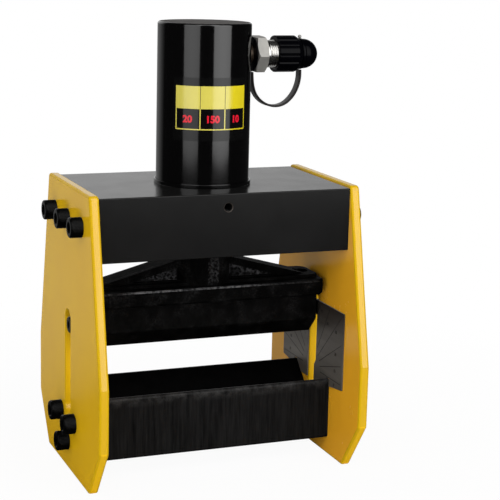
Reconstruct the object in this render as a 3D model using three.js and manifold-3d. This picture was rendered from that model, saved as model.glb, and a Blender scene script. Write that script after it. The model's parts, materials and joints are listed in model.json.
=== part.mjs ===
// Hydraulic busbar bender. Millimetres; X runs across the machine, -Y is the front and +Z is up.
// The origin is at floor level, midway between the side plates and under the ram's axis.
import * as THREE from "three";
import { mergeVertices } from "three/addons/utils/BufferGeometryUtils.js";
import Module from "manifold-3d";

const wasm = await Module();
wasm.setup();

// Clearances
const fitGap = 0.3; // round pieces in their holes, all round
const sealGap = 0.15; // seals to the wall that they run on
const overrun = 2; // how far a cutter passes the face that it opens

// Steps in a full circle
const barrelSteps = 48;
const roundSteps = 32;
const screwSteps = 16;
const hexSides = 6;
const arcSteps = 3; // half the steps of a rounded corner

// Side plates
const plateGap = 210; // clear width between the two plates
const plateThick = 8;
const plateAboveBlock = 2;
const plateTopHalf = 62; // half depths, front to rear
const plateWaistHalf = 93;
const plateFootHalf = 63;
const waistLow = 41; // heights where the waist's straight edge starts and ends
const waistHigh = 92;
const plateCornerRadius = 4;
const slotWidth = 16.6;
const slotSpare = 13; // the slot runs this far past the pin's axis at both ends of the stroke

// Top block, which carries the cylinder
const blockHeight = 50.8;
const blockTop = 234;
const lockHoleRadius = 3.35; // tapped hole for the screw that locks the cylinder
const lockHoleDrop = 11; // below the block's top
const lockScrewLength = 12;
const lockScrewKey = 3;
const lockKeyDepth = 4;

// Socket head cap screws that hold the block and the die between the plates
const screwRadius = 5;
const screwLength = 30;
const screwHeadRadius = 8;
const screwHeadHeight = 10;
const screwHeadBevel = 0.8;
const screwKey = 8; // across the flats of the hexagon socket
const screwKeyDepth = 5;
const blockScrewInset = 22; // from the block's front and rear faces
const dieScrewPitch = 40;
const dieScrewUp = 29.2; // above the die's lower face
const dieLowScrewUp = 9.2;

// Lower V die
const dieHalfDepth = 35.5;
const dieLow = 14.8;
const dieHeight = 51.7;
const dieEdgeRadius = 2.5;
const dieLand = 3.5; // from the die's face to the V, whose walls stand at 45 degrees
const grooveRadius = 3;

// Hydraulic cylinder
const barrelRadius = 38;
const barrelHeight = 130; // above the block
const barrelHead = 18; // thickness of the closed end
const barrelWall = 11;
const barrelRimBevel = 1.5;
const spigotStep = 2.3; // the part of the barrel inside the block is thinner by this
const spigotDepth = 44.7;
const ringWall = 1.3; // ring round the barrel's foot
const ringHeight = 3;
const ringBevel = 1;

// Ram, piston and their seals
const springRoom = 7; // from the ram to the barrel's bore, where the return spring is
const ramFootBevel = 1.5;
const pistonHeight = 24;
const pistonNoseRadius = 19; // stands against the barrel's head at rest and clears the oil port
const pistonNoseHeight = 16.7;
const pistonThreadRadius = 12;
const pistonThreadLength = 17;
const sealGrooveDepth = 3.6;
const sealWidth = 6;
const sealGrooveUp = 14; // from the piston's lower face
const wearGrooveUp = 3.5;
const glandHeight = 18;
const wiperHeight = 4.2;
const wiperWall = 3.7;

// Return spring between the gland and the piston
const springWire = 4.5;
const springTurns = 6;
const springTurnSteps = 12;
const springSides = 6;

// Press head: a flange, a gable-shaped rib along it and a socket for the ram
const stroke = 62;
const headGap = 2.2; // between the block and the socket's rim at rest
const socketWall = 4;
const socketHeight = 29.5; // above the flange
const socketDepth = 19;
const socketEdgeBevel = 1.5;
const headFlangeHeight = 13;
const headEndGap = 2.5; // to the side plates
const headHalfDepth = 30;
const headCornerRadius = 12;
const headEdgeBevel = 2.2;
const bandHalfDepth = 18; // raised band along the flange's middle
const bandRise = 2.5;
const bandInset = 2; // from the flange's ends
const bandCornerRadius = 8;
const bandBevel = 1.2;
const ribEndGap = 4; // from the flange's ends
const ribRise = 26.5;
const ribHalfThick = 11;
const ribPocketDepth = 4;
const ribPocketRim = 6; // band left above the pocket, square to the slope
const ribPocketFloor = 3;
const ramSetScrewRadius = 4;
const ramSetScrewDrop = 9; // below the socket's rim

// Punch blade under the press head
const bladeEndGap = 5; // to the side plates
const bladeHalfDepth = 15;
const bladeHeight = 37.7;
const noseRadius = 3;
const bladeScrewInset = 10; // from the blade's ends
const bladeScrewRadius = 4;
const bladeScrewHeadRadius = 6.5;
const bladeScrewHeadHeight = 8;
const bladeScrewLength = 14;
const bladeScrewKey = 6;
const bladeScrewKeyDepth = 4;

// Guide pins: shoulder screws in the blade's ends, whose heads run in the plates' slots
const pinDrop = 17.5; // below the blade's upper face
const pinHeadRadius = 6.5;
const pinNeckRadius = 4.5;
const pinThreadLength = 20;
const pinRecess = 0.6; // the head's face lies this far inside the plate's outer face
const pinKey = 6;
const pinKeyDepth = 4;

// Bend-angle scale plates on the right plate's inner face; heights are from the die's top
const scaleThick = 1.2;
const scaleOuter = 61.5; // half depths
const scaleInner = 8.5;
const scaleUp = 62.5;
const scaleDownOuter = 2.9;
const scaleDown = 9.5;
const scaleTabGap = 0.7; // from the front plate's tab to the pin's neck
const scaleTabUp = 5;
const scaleTabShoulderUp = 9.5;
const scaleDieGap = 0.7;
const scaleCornerRadius = 1;

// Rating plate, a thin film round the barrel; angles count from the front towards +X
const filmThick = 0.25;
const filmUp = 38; // above the block
const filmHeight = 50;
const filmFromDegrees = -58;
const filmToDegrees = 42;
const filmSteps = 20;

// Oil port and quick coupler, along +X
const portDrop = 26; // from the barrel's top to the port's axis
const portThreadRadius = 8.5;
const portDepth = 8.5;
const oilwayRadius = 3;
const neckRadius = 7.5;
const neckBore = 2.5;
const neckEyeOut = 1.9; // from the barrel's wall to the tether's eye
const neckEyeThick = 1.6;
const neckEyeWall = 6.5;
const hexEyeGap = 0.3; // from the eye to the hexagon
const hexAcross = 28;
const hexLength = 9.4;
const hexLeanDegrees = 4.5; // its front corner lies this far below the axis
const hexBevel = 1.2;
const noseThreadRadius = 11.3;
const noseThreadLength = 28.8;
const noseThreadStart = 1.2; // bevel at the thread's free end
const nippleReach = 8.5; // how far the nipple screws into the hexagon
const poppetWall = 4.8;
const poppetBoreLength = 16;
const poppetLip = 4; // wall that holds the poppet in
const poppetMouth = 4;
const poppetHeadLength = 4.5;
const poppetTipRadius = 3.4;
const poppetTipLength = 3.4;
const poppetSpringWire = 1.1;
const poppetSpringTurns = 4;
const poppetTurnSteps = 8;

// Dust cap, its tether's two eyes and the strap between them
const capHexGap = 9.2; // from the hexagon to the cap
const capGripLength = 17.6;
const capWall = 3.4;
const capFlute = 0.9;
const capFlutes = 14;
const capEndGap = 0.7; // inside the cap, past the coupler's thread
const capTaperLength = 3.8;
const capTaperRadius = 12.6;
const capGrooveRadius = 10.4;
const capGrooveLength = 3.2;
const capDomeRadius = 12.2;
const capDomeLength = 13.6;
const domeSteps = 6;
const eyeWall = 2.1;
const rivetRadius = 1.5;
const rivetHeight = 2.4;
const strapWidth = 9;
const strapThick = 1.8;
const strapEdgeShare = 0.6; // how much of the strap's half thickness is left at its edges
const strapSteps = 45;
// The strap's middle line in X and Z, from the neck eye down and round to the cap's eye
const strapRoute = [
  [40.7, 323.3], [40.9, 320.2], [41.2, 316.2], [41.9, 311.8], [43.3, 307.3], [45.8, 303.1],
  [49.5, 299.4], [54.3, 296.7], [60, 295.2], [66, 295.5], [71.5, 297.8], [76.2, 301.9],
  [79.8, 307], [82.2, 312.9], [83.3, 318.8], [83.4, 324.9],
];

// Places worked out from the sizes above
const halfGap = plateGap / 2;
const outerFace = halfGap + plateThick;
const plateHeight = blockTop + plateAboveBlock;
const blockLow = blockTop - blockHeight;
const blockScrewPitch = plateTopHalf - blockScrewInset;
const blockScrewHeight = blockTop - blockHeight / 2;
const lockHoleHeight = blockTop - lockHoleDrop;
const spigotRadius = barrelRadius - spigotStep;
const spigotLow = blockTop - spigotDepth;
const barrelBore = barrelRadius - barrelWall;
const ramRadius = barrelBore - springRoom;
const barrelTop = blockTop + barrelHeight;
const boreTop = barrelTop - barrelHead;
const pistonHigh = boreTop - fitGap - pistonNoseHeight;
const pistonLow = pistonHigh - pistonHeight;
const glandLow = spigotLow + fitGap;
const glandHigh = glandLow + glandHeight;
const socketHigh = blockLow - headGap;
const socketRadius = ramRadius + socketWall;
const ramFoot = socketHigh - socketDepth;
const headTop = socketHigh - socketHeight;
const headLow = headTop - headFlangeHeight;
const headHalfLength = halfGap - headEndGap;
const ribHalfLength = headHalfLength - ribEndGap;
const ramSetScrewHeight = socketHigh - ramSetScrewDrop;
const bladeHalfLength = halfGap - bladeEndGap;
const bladeScrewX = bladeHalfLength - bladeScrewInset;
const noseHeight = headLow - bladeHeight;
const pinHeight = headLow - pinDrop;
const slotHigh = pinHeight + slotSpare;
const slotLow = pinHeight - stroke - slotSpare;
const dieHigh = dieLow + dieHeight;
const dieScrewHeight = dieLow + dieScrewUp;
const dieLowScrewHeight = dieLow + dieLowScrewUp;
const grooveHalf = dieHalfDepth - dieLand;
const filmLow = blockTop + filmUp;
const portHeight = barrelTop - portDrop;
const neckEyeFrom = barrelRadius + neckEyeOut;
const neckEyeTo = neckEyeFrom + neckEyeThick;
const hexFrom = neckEyeTo + hexEyeGap;
const hexTo = hexFrom + hexLength;
const noseThreadTo = hexTo + noseThreadLength;
const poppetBore = noseThreadRadius - poppetWall;
const poppetStop = noseThreadTo - poppetLip;
const springSeatFrom = poppetStop - poppetBoreLength;
const capFrom = hexTo + capHexGap;
const capRadius = noseThreadRadius + fitGap + capWall;
const capGripTo = capFrom + capGripLength;
const capTaperTo = capGripTo + capTaperLength;
const capGrooveTo = capTaperTo + capGrooveLength;
const capCavityTo = noseThreadTo + capEndGap;
const eyeRadius = capGrooveRadius + fitGap + eyeWall;

const finish = {
  yellowPaint: look(0xf2bd2e, 0.45, 0.1),
  blackPaint: look(0x1b1b1c, 0.45, 0.3),
  blackOxide: look(0x141415, 0.5, 0.6),
  castBlack: look(0x202022, 0.6, 0.5),
  glossBlack: look(0x0c0c0e, 0.2, 0.3),
  steel: look(0xb9b9b7, 0.35, 0.9),
  greySteel: look(0x6e6c69, 0.5, 0.7),
  bronze: look(0xa9763f, 0.4, 0.9),
  seal: look(0x2b2b2b, 0.8, 0),
  plastic: look(0x151517, 0.55, 0),
  film: look(0x101012, 0.25, 0),
};

function look(color, roughness, metalness) {
  return new THREE.MeshStandardMaterial({ color, roughness, metalness });
}

// Turns geometry drawn along Z so that it runs along X, or along Y
const unitX = new THREE.Vector3(1, 0, 0);
const unitY = new THREE.Vector3(0, 1, 0);
const unitZ = new THREE.Vector3(0, 0, 1);
const zToX = new THREE.Matrix4().makeBasis(unitY, unitZ, unitX);
const zToY = new THREE.Matrix4().makeBasis(unitZ, unitX, unitY);

// A closed geometry as a solid that can be joined and cut
function solidOf(geometry) {
  const plain = geometry.clone();
  plain.deleteAttribute("normal");
  plain.deleteAttribute("uv");
  const merged = mergeVertices(plain);
  return new wasm.Manifold(
    new wasm.Mesh({
      numProp: 3,
      vertProperties: merged.attributes.position.array,
      triVerts: new Uint32Array(merged.index.array),
    }),
  );
}

function geometryOf(solid) {
  const made = solid.getMesh();
  const geometry = new THREE.BufferGeometry();
  geometry.setAttribute("position", new THREE.BufferAttribute(made.vertProperties, 3));
  geometry.setIndex(new THREE.BufferAttribute(made.triVerts, 1));
  geometry.computeVertexNormals();
  return geometry;
}

function joined(...geometries) {
  return geometryOf(geometries.map(solidOf).reduce((whole, next) => whole.add(next)));
}

function cut(geometry, ...cutters) {
  return geometryOf(cutters.map(solidOf).reduce((left, next) => left.subtract(next), solidOf(geometry)));
}

// A piece turned about Z, from a profile of [radius, height] that goes up outside and down inside
function turned(profile, steps) {
  const points = profile.map(([radius, height]) => new THREE.Vector2(radius, height));
  return new THREE.LatheGeometry(points, steps).rotateX(Math.PI / 2);
}

function rod(radius, low, high, steps) {
  return turned([[0, low], [radius, low], [radius, high], [0, high]], steps);
}

function ring(inner, outer, low, high, steps) {
  return turned([[inner, low], [outer, low], [outer, high], [inner, high], [inner, low]], steps);
}

function rodX(radius, from, to, y, z, steps) {
  return rod(radius, from, to, steps).applyMatrix4(zToX).translate(0, y, z);
}

function rodY(radius, from, to, x, z, steps) {
  return rod(radius, from, to, steps).applyMatrix4(zToY).translate(x, 0, z);
}

// A hexagonal prism along Z, by its size across the flats
function hexRod(across, low, high) {
  return rod(across / 2 / Math.cos(Math.PI / hexSides), low, high, hexSides);
}

// A closed outline through [x, y, radius] corners, anticlockwise; the radius may be left out
function outline(corners) {
  const shape = new THREE.Shape();
  corners.forEach((corner, index) => {
    const at = new THREE.Vector2(corner[0], corner[1]);
    const back = new THREE.Vector2(...corners.at(index - 1)).sub(at).normalize();
    const ahead = new THREE.Vector2(...corners[(index + 1) % corners.length]).sub(at).normalize();
    const radius = corner[2] ?? 0;
    const half = Math.acos(back.dot(ahead)) / 2;
    const start = at.clone().addScaledVector(back, radius / Math.tan(half));
    const end = at.clone().addScaledVector(ahead, radius / Math.tan(half));
    if (index === 0) shape.moveTo(start.x, start.y);
    if (radius === 0 && index > 0) shape.lineTo(start.x, start.y);
    if (radius > 0) {
      const middle = back.clone().add(ahead).normalize();
      const centre = at.clone().addScaledVector(middle, radius / Math.sin(half));
      const from = start.sub(centre).angle();
      const to = end.sub(centre).angle();
      shape.absarc(centre.x, centre.y, radius, from, to, back.cross(ahead) > 0);
    }
  });
  return shape;
}

function extruded(shape, length) {
  const how = { depth: length, bevelEnabled: false, curveSegments: arcSteps };
  return new THREE.ExtrudeGeometry(shape, how);
}

// Extrudes an outline drawn in Y and Z along X
function extrudedX(shape, from, to) {
  return extruded(shape, to - from).applyMatrix4(zToX).translate(from, 0, 0);
}

function box(sizeX, sizeY, low, high) {
  return new THREE.BoxGeometry(sizeX, sizeY, high - low).translate(0, 0, (low + high) / 2);
}

// Mirrors a list of [y, z, radius] points that go down the +Y side into a whole outline
function bothSides(points) {
  const other = points.map(([y, z, radius]) => [-y, z, radius]).reverse();
  return outline([...points.slice().reverse(), ...other.slice().reverse()]);
}

function piece(parent, name, geometry, material) {
  const mesh = new THREE.Mesh(geometry, material);
  mesh.name = name;
  parent.add(mesh);
  return mesh;
}

// A helical spring about Z, with its wire's middle line between two heights
class Helix extends THREE.Curve {
  constructor(radius, low, high, turns) {
    super();
    Object.assign(this, { radius, low, high, turns });
  }

  getPoint(share, target = new THREE.Vector3()) {
    const angle = share * this.turns * Math.PI * 2;
    const height = this.low + (this.high - this.low) * share;
    return target.set(this.radius * Math.cos(angle), this.radius * Math.sin(angle), height);
  }
}

function spring(radius, wire, low, high, turns, turnSteps) {
  const section = new THREE.Shape();
  section.absarc(0, 0, wire / 2, 0, Math.PI * 2);
  const path = new Helix(radius, low + wire / 2, high - wire / 2, turns);
  const how = { steps: turns * turnSteps, curveSegments: springSides / 2, extrudePath: path };
  return new THREE.ExtrudeGeometry(section, { ...how, bevelEnabled: false });
}

// Where the screws cross each plate, as [name, y, z]
const blockScrews = [
  ["front", -blockScrewPitch, blockScrewHeight],
  ["middle", 0, blockScrewHeight],
  ["rear", blockScrewPitch, blockScrewHeight],
];
const dieScrews = [
  ["front", -dieScrewPitch / 2, dieScrewHeight],
  ["rear", dieScrewPitch / 2, dieScrewHeight],
  ["low", 0, dieLowScrewHeight],
];
const sides = [["left", -1], ["right", 1]];

// Tapped or clearance holes along X through both ends of a piece
function endHoles(screws, reach) {
  return screws.flatMap(([, y, z]) =>
    sides.map(([, side]) => {
      const from = Math.min(side * (halfGap - reach), side * (outerFace + overrun));
      const to = Math.max(side * (halfGap - reach), side * (outerFace + overrun));
      return rodX(screwRadius + fitGap, from, to, y, z, screwSteps);
    }),
  );
}

function sidePlate() {
  const half = [
    [plateTopHalf, plateHeight, plateCornerRadius],
    [plateWaistHalf, waistHigh, plateCornerRadius],
    [plateWaistHalf, waistLow, plateCornerRadius],
    [plateFootHalf, 0, plateCornerRadius / 2],
  ];
  const slot = outline([
    [-slotWidth / 2, slotLow, slotWidth / 2],
    [slotWidth / 2, slotLow, slotWidth / 2],
    [slotWidth / 2, slotHigh, slotWidth / 2],
    [-slotWidth / 2, slotHigh, slotWidth / 2],
  ]);
  const slotCutter = extrudedX(slot, -overrun, plateThick + overrun);
  const holes = [...blockScrews, ...dieScrews].map(([, y, z]) =>
    rodX(screwRadius + fitGap, -overrun, plateThick + overrun, y, z, screwSteps),
  );
  return cut(extrudedX(bothSides(half), 0, plateThick), slotCutter, ...holes);
}

function topBlock() {
  const body = box(plateGap, plateTopHalf * 2, blockLow, blockTop);
  const bore = rod(spigotRadius + fitGap, spigotLow, blockTop + overrun, barrelSteps);
  const ramHole = rod(ramRadius + fitGap + wiperWall, blockLow - overrun, blockTop, roundSteps);
  const lockFrom = -plateTopHalf - overrun;
  const lockHole = rodY(lockHoleRadius, lockFrom, 0, 0, lockHoleHeight, screwSteps);
  const screwReach = screwLength - plateThick + fitGap;
  return cut(body, bore, ramHole, lockHole, ...endHoles(blockScrews, screwReach));
}

// A socket head screw about Z: its head stands on z = 0 and its shank goes down
function capScrew(radius, length, headRadius, headHeight, key, keyDepth) {
  const body = turned(
    [
      [0, -length],
      [radius - screwHeadBevel, -length],
      [radius, screwHeadBevel - length],
      [radius, 0],
      [headRadius, 0],
      [headRadius, headHeight - screwHeadBevel],
      [headRadius - screwHeadBevel, headHeight],
      [0, headHeight],
    ],
    screwSteps,
  );
  return cut(body, hexRod(key, headHeight - keyDepth, headHeight + overrun));
}

// A headless screw about Z from 0 up, with its hexagon socket in the far end
function setScrew(radius, length, key, keyDepth) {
  return cut(rod(radius, 0, length, screwSteps), hexRod(key, length - keyDepth, length + overrun));
}

function addSideScrews(parent) {
  const sizes = [screwRadius, screwLength, screwHeadRadius, screwHeadHeight, screwKey, screwKeyDepth];
  const geometry = capScrew(...sizes);
  for (const [sideName, side] of sides) {
    for (const [group, screws] of [["block", blockScrews], ["die", dieScrews]]) {
      for (const [place, y, z] of screws) {
        const screw = piece(parent, `${group}_screw_${sideName}_${place}`, geometry, finish.blackOxide);
        screw.rotation.y = (side * Math.PI) / 2;
        screw.position.set(side * outerFace, y, z);
      }
    }
  }
}

function vDie() {
  const grooveLow = dieHigh - grooveHalf;
  const outer = [
    [dieHalfDepth, dieLow, dieEdgeRadius],
    [dieHalfDepth, dieHigh, dieEdgeRadius],
    [grooveHalf, dieHigh],
    [0, grooveLow, grooveRadius],
    [-grooveHalf, dieHigh],
    [-dieHalfDepth, dieHigh, dieEdgeRadius],
    [-dieHalfDepth, dieLow, dieEdgeRadius],
  ];
  const reach = screwLength - plateThick + fitGap;
  return cut(extrudedX(outline(outer), -halfGap, halfGap), ...endHoles(dieScrews, reach));
}

function barrel() {
  const profile = [
    [barrelBore, spigotLow],
    [spigotRadius, spigotLow],
    [spigotRadius, blockTop],
    [barrelRadius, blockTop],
    [barrelRadius, barrelTop - barrelRimBevel],
    [barrelRadius - barrelRimBevel, barrelTop],
    [0, barrelTop],
    [0, boreTop],
    [barrelBore, boreTop],
    [barrelBore, spigotLow],
  ];
  const portFrom = barrelRadius - portDepth;
  const portTo = barrelRadius + overrun;
  const port = rodX(portThreadRadius + fitGap, portFrom, portTo, 0, portHeight, roundSteps);
  const oilway = rodX(oilwayRadius, 0, portTo, 0, portHeight, screwSteps);
  return cut(turned(profile, barrelSteps), port, oilway);
}

function footRing() {
  const inner = barrelRadius + fitGap;
  const ringRadius = inner + ringWall;
  const high = blockTop + ringHeight;
  const profile = [
    [inner, blockTop],
    [ringRadius, blockTop],
    [ringRadius, high - ringBevel],
    [ringRadius - ringBevel, high],
    [inner, high],
    [inner, blockTop],
  ];
  return turned(profile, barrelSteps);
}

function piston() {
  const radius = barrelBore - fitGap;
  const groove = radius - sealGrooveDepth;
  const threadHigh = pistonLow + pistonThreadLength + fitGap;
  const profile = [
    [pistonThreadRadius + fitGap, pistonLow],
    [radius, pistonLow],
    [radius, pistonLow + wearGrooveUp],
    [groove, pistonLow + wearGrooveUp],
    [groove, pistonLow + wearGrooveUp + sealWidth],
    [radius, pistonLow + wearGrooveUp + sealWidth],
    [radius, pistonLow + sealGrooveUp],
    [groove, pistonLow + sealGrooveUp],
    [groove, pistonLow + sealGrooveUp + sealWidth],
    [radius, pistonLow + sealGrooveUp + sealWidth],
    [radius, pistonHigh],
    [pistonNoseRadius, pistonHigh],
    [pistonNoseRadius, boreTop - fitGap],
    [0, boreTop - fitGap],
    [0, threadHigh],
    [pistonThreadRadius + fitGap, threadHigh],
    [pistonThreadRadius + fitGap, pistonLow],
  ];
  return turned(profile, roundSteps);
}

function pistonRing(grooveUp) {
  const inner = barrelBore - sealGrooveDepth;
  const low = pistonLow + grooveUp + fitGap;
  return ring(inner, barrelBore - sealGap, low, low + sealWidth - fitGap * 2, roundSteps);
}

function ram() {
  const profile = [
    [0, ramFoot],
    [ramRadius - ramFootBevel, ramFoot],
    [ramRadius, ramFoot + ramFootBevel],
    [ramRadius, pistonLow],
    [pistonThreadRadius, pistonLow],
    [pistonThreadRadius, pistonLow + pistonThreadLength],
    [0, pistonLow + pistonThreadLength],
  ];
  const dimpleSpan = [ramRadius - ramFootBevel * 2, ramRadius + overrun];
  const dimple = rodY(ramSetScrewRadius + fitGap, ...dimpleSpan, 0, ramSetScrewHeight, screwSteps);
  return cut(turned(profile, roundSteps), dimple);
}

function pressHead() {
  const flange = slab(headHalfLength, headHalfDepth, headCornerRadius, headLow, headTop, headEdgeBevel);
  const bandHalfLength = headHalfLength - bandInset;
  const bandSizes = [bandHalfLength, bandHalfDepth, bandCornerRadius];
  const band = slab(...bandSizes, headLow + headEdgeBevel, headTop + bandRise, bandBevel);
  const socket = turned(
    [
      [0, headTop - headEdgeBevel],
      [socketRadius, headTop - headEdgeBevel],
      [socketRadius, socketHigh - socketEdgeBevel],
      [socketRadius - socketEdgeBevel, socketHigh],
      [0, socketHigh],
    ],
    roundSteps,
  );
  const tappedHole = [ramSetScrewRadius + fitGap, ramRadius - ramFootBevel, socketRadius + overrun];
  const cutters = [
    rod(ramRadius + fitGap, ramFoot, socketHigh + overrun, roundSteps),
    rodY(...tappedHole, 0, ramSetScrewHeight, screwSteps),
  ];
  for (const [, side] of sides) {
    const x = side * bladeScrewX;
    const seat = headTop - bladeScrewHeadHeight;
    cutters.push(rod(bladeScrewHeadRadius + fitGap, seat, headTop + ribRise, screwSteps).translate(x, 0, 0));
    cutters.push(rod(bladeScrewRadius + fitGap, headLow - overrun, headTop, screwSteps).translate(x, 0, 0));
  }
  return cut(joined(flange, band, ribs(), socket), ...cutters);
}

// A flat plate with rounded corners and bevelled edges, between two heights
function slab(halfLength, halfDepth, cornerRadius, low, high, bevel) {
  const shape = outline([
    [-halfLength, -halfDepth, cornerRadius],
    [halfLength, -halfDepth, cornerRadius],
    [halfLength, halfDepth, cornerRadius],
    [-halfLength, halfDepth, cornerRadius],
  ]);
  return new THREE.ExtrudeGeometry(shape, {
    depth: high - low - bevel * 2,
    bevelThickness: bevel,
    bevelSize: bevel,
    bevelOffset: -bevel,
    bevelSegments: 1,
    curveSegments: arcSteps,
  }).translate(0, 0, low + bevel);
}

// The gable rib, with a three-cornered pocket on each side of the socket, front and rear
function ribs() {
  const low = headTop - headEdgeBevel;
  const slope = ribRise / ribHalfLength;
  const gable = outline([
    [-ribHalfLength, low],
    [ribHalfLength, low],
    [ribHalfLength, headTop],
    [0, headTop + ribRise],
    [-ribHalfLength, headTop],
  ]);
  const faceX = new THREE.Matrix4().makeBasis(unitX, unitZ, unitY.clone().negate());
  const body = extruded(gable, ribHalfThick * 2).applyMatrix4(faceX).translate(0, ribHalfThick, 0);
  const pocketFloor = headTop + ribPocketFloor;
  const pocketDrop = ribPocketRim / Math.cos(Math.atan(slope));
  const pocketReach = ribHalfLength - (ribPocketFloor + pocketDrop) / slope;
  const pocketTop = headTop + ribRise - pocketDrop;
  const pocket = outline([[-pocketReach, pocketFloor], [pocketReach, pocketFloor], [0, pocketTop]]);
  const pocketCutter = extruded(pocket, ribPocketDepth + overrun).applyMatrix4(faceX);
  const front = pocketCutter.clone().translate(0, ribPocketDepth - ribHalfThick, 0);
  const rear = pocketCutter.clone().translate(0, ribHalfThick + overrun, 0);
  return cut(body, front, rear);
}

function punchBlade() {
  const apex = noseHeight - noseRadius * (Math.SQRT2 - 1);
  const shape = outline([
    [-bladeHalfDepth, headLow],
    [-bladeHalfDepth, apex + bladeHalfDepth],
    [0, apex, noseRadius],
    [bladeHalfDepth, apex + bladeHalfDepth],
    [bladeHalfDepth, headLow],
  ]);
  const cutters = [];
  for (const [, side] of sides) {
    const ends = [side * (bladeHalfLength - pinThreadLength - fitGap), side * (bladeHalfLength + overrun)];
    const pinHole = [pinNeckRadius + fitGap, Math.min(...ends), Math.max(...ends)];
    cutters.push(rodX(...pinHole, 0, pinHeight, screwSteps));
    const screwTip = headTop - bladeScrewHeadHeight - bladeScrewLength - fitGap;
    const screwHole = rod(bladeScrewRadius + fitGap, screwTip, headLow + overrun, screwSteps);
    cutters.push(screwHole.translate(side * bladeScrewX, 0, 0));
  }
  return cut(extrudedX(shape, -bladeHalfLength, bladeHalfLength), ...cutters);
}

// A guide pin about Z, from the tip of its thread up to its head
function guidePin() {
  const tip = bladeHalfLength - pinThreadLength;
  const shoulder = halfGap + fitGap;
  const face = outerFace - pinRecess;
  const body = turned(
    [
      [0, tip],
      [pinNeckRadius, tip],
      [pinNeckRadius, shoulder],
      [pinHeadRadius, shoulder],
      [pinHeadRadius, face - screwHeadBevel],
      [pinHeadRadius - screwHeadBevel, face],
      [0, face],
    ],
    screwSteps,
  );
  return cut(body, hexRod(pinKey, face - pinKeyDepth, face + overrun));
}

// One scale plate in Y and Z; side is -1 for the front one, which has the tab
function scalePlate(side) {
  const high = dieHigh + scaleUp;
  const low = dieHigh - scaleDown;
  const clearOf = dieHigh - grooveHalf + scaleDieGap;
  const dieFront = dieHalfDepth + scaleDieGap;
  const dieOver = dieHigh + scaleDieGap / 2;
  const tabInner = pinNeckRadius + scaleTabGap;
  const tab = [
    [scaleInner, dieHigh + scaleTabShoulderUp],
    [tabInner, dieHigh + scaleTabUp],
    [tabInner, low],
  ];
  const points = [
    [scaleOuter, high, scaleCornerRadius],
    [scaleInner, high, scaleCornerRadius],
    ...(side < 0 ? tab : [[scaleInner, low]]),
    [low - clearOf, low],
    [dieOver - clearOf, dieOver],
    [dieFront, dieOver],
    [dieFront, dieHigh - (scaleDown + scaleDownOuter) / 2],
    [scaleOuter, dieHigh - scaleDownOuter, scaleCornerRadius],
  ];
  const placed = points.map(([y, z, radius]) => [side * y, z, radius]);
  const shape = outline(side < 0 ? placed.reverse() : placed);
  return extrudedX(shape, halfGap - scaleThick, halfGap);
}

function ratingFilm() {
  const inner = barrelRadius + filmThick;
  const outer = inner + filmThick;
  const shape = new THREE.Shape();
  const angleAt = (step) =>
    THREE.MathUtils.degToRad(filmFromDegrees + ((filmToDegrees - filmFromDegrees) * step) / filmSteps);
  const points = [];
  for (let step = 0; step <= filmSteps; step += 1) {
    points.push([outer * Math.sin(angleAt(step)), -outer * Math.cos(angleAt(step))]);
  }
  for (let step = filmSteps; step >= 0; step -= 1) {
    points.push([inner * Math.sin(angleAt(step)), -inner * Math.cos(angleAt(step))]);
  }
  points.forEach(([x, y], index) => (index ? shape.lineTo(x, y) : shape.moveTo(x, y)));
  return extruded(shape, filmHeight).translate(0, 0, filmLow);
}

// The pieces along the oil port are drawn about Z and turned to X as a group
function portNipple() {
  const from = barrelRadius - portDepth + fitGap;
  const to = hexFrom + nippleReach;
  const profile = [
    [neckBore, from],
    [portThreadRadius, from],
    [portThreadRadius, barrelRadius],
    [neckRadius, barrelRadius],
    [neckRadius, hexFrom],
    [portThreadRadius, hexFrom + fitGap],
    [portThreadRadius, to],
    [neckBore, to],
    [neckBore, from],
  ];
  return turned(profile, roundSteps);
}

function couplerBody() {
  const corner = hexAcross / 2 / Math.cos(Math.PI / hexSides);
  const bevelled = turned(
    [
      [0, hexFrom],
      [hexAcross / 2, hexFrom],
      [corner, hexFrom + hexBevel],
      [corner, hexTo - hexBevel],
      [hexAcross / 2, hexTo],
      [0, hexTo],
    ],
    roundSteps,
  );
  const cornerForward = Math.PI / hexSides + THREE.MathUtils.degToRad(hexLeanDegrees);
  const sixSided = hexRod(hexAcross, hexFrom, hexTo).rotateZ(cornerForward);
  const hexagon = geometryOf(solidOf(sixSided).intersect(solidOf(bevelled)));
  const noseTo = noseThreadTo - noseThreadStart;
  const nose = turned(
    [
      [0, hexTo - hexBevel],
      [noseThreadRadius, hexTo - hexBevel],
      [noseThreadRadius, noseTo],
      [noseThreadRadius - noseThreadStart, noseThreadTo],
      [0, noseThreadTo],
    ],
    roundSteps,
  );
  const cutters = [
    rod(portThreadRadius + fitGap, hexFrom - overrun, hexFrom + nippleReach + fitGap, roundSteps),
    rod(poppetMouth, hexFrom, noseThreadTo + overrun, screwSteps),
    rod(poppetBore, springSeatFrom, poppetStop, screwSteps),
  ];
  return cut(joined(hexagon, nose), ...cutters);
}

function poppet() {
  const radius = poppetBore - fitGap;
  const high = poppetStop - fitGap;
  const low = high - poppetHeadLength;
  const profile = [
    [0, low],
    [radius, low],
    [radius, high],
    [poppetTipRadius, high],
    [poppetTipRadius, high + poppetTipLength],
    [0, high + poppetTipLength],
  ];
  return turned(profile, screwSteps);
}

function poppetSpring() {
  const radius = poppetBore - fitGap - poppetSpringWire / 2;
  const high = poppetStop - poppetHeadLength - fitGap * 2;
  return spring(radius, poppetSpringWire, springSeatFrom + fitGap, high, poppetSpringTurns, poppetTurnSteps);
}

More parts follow.
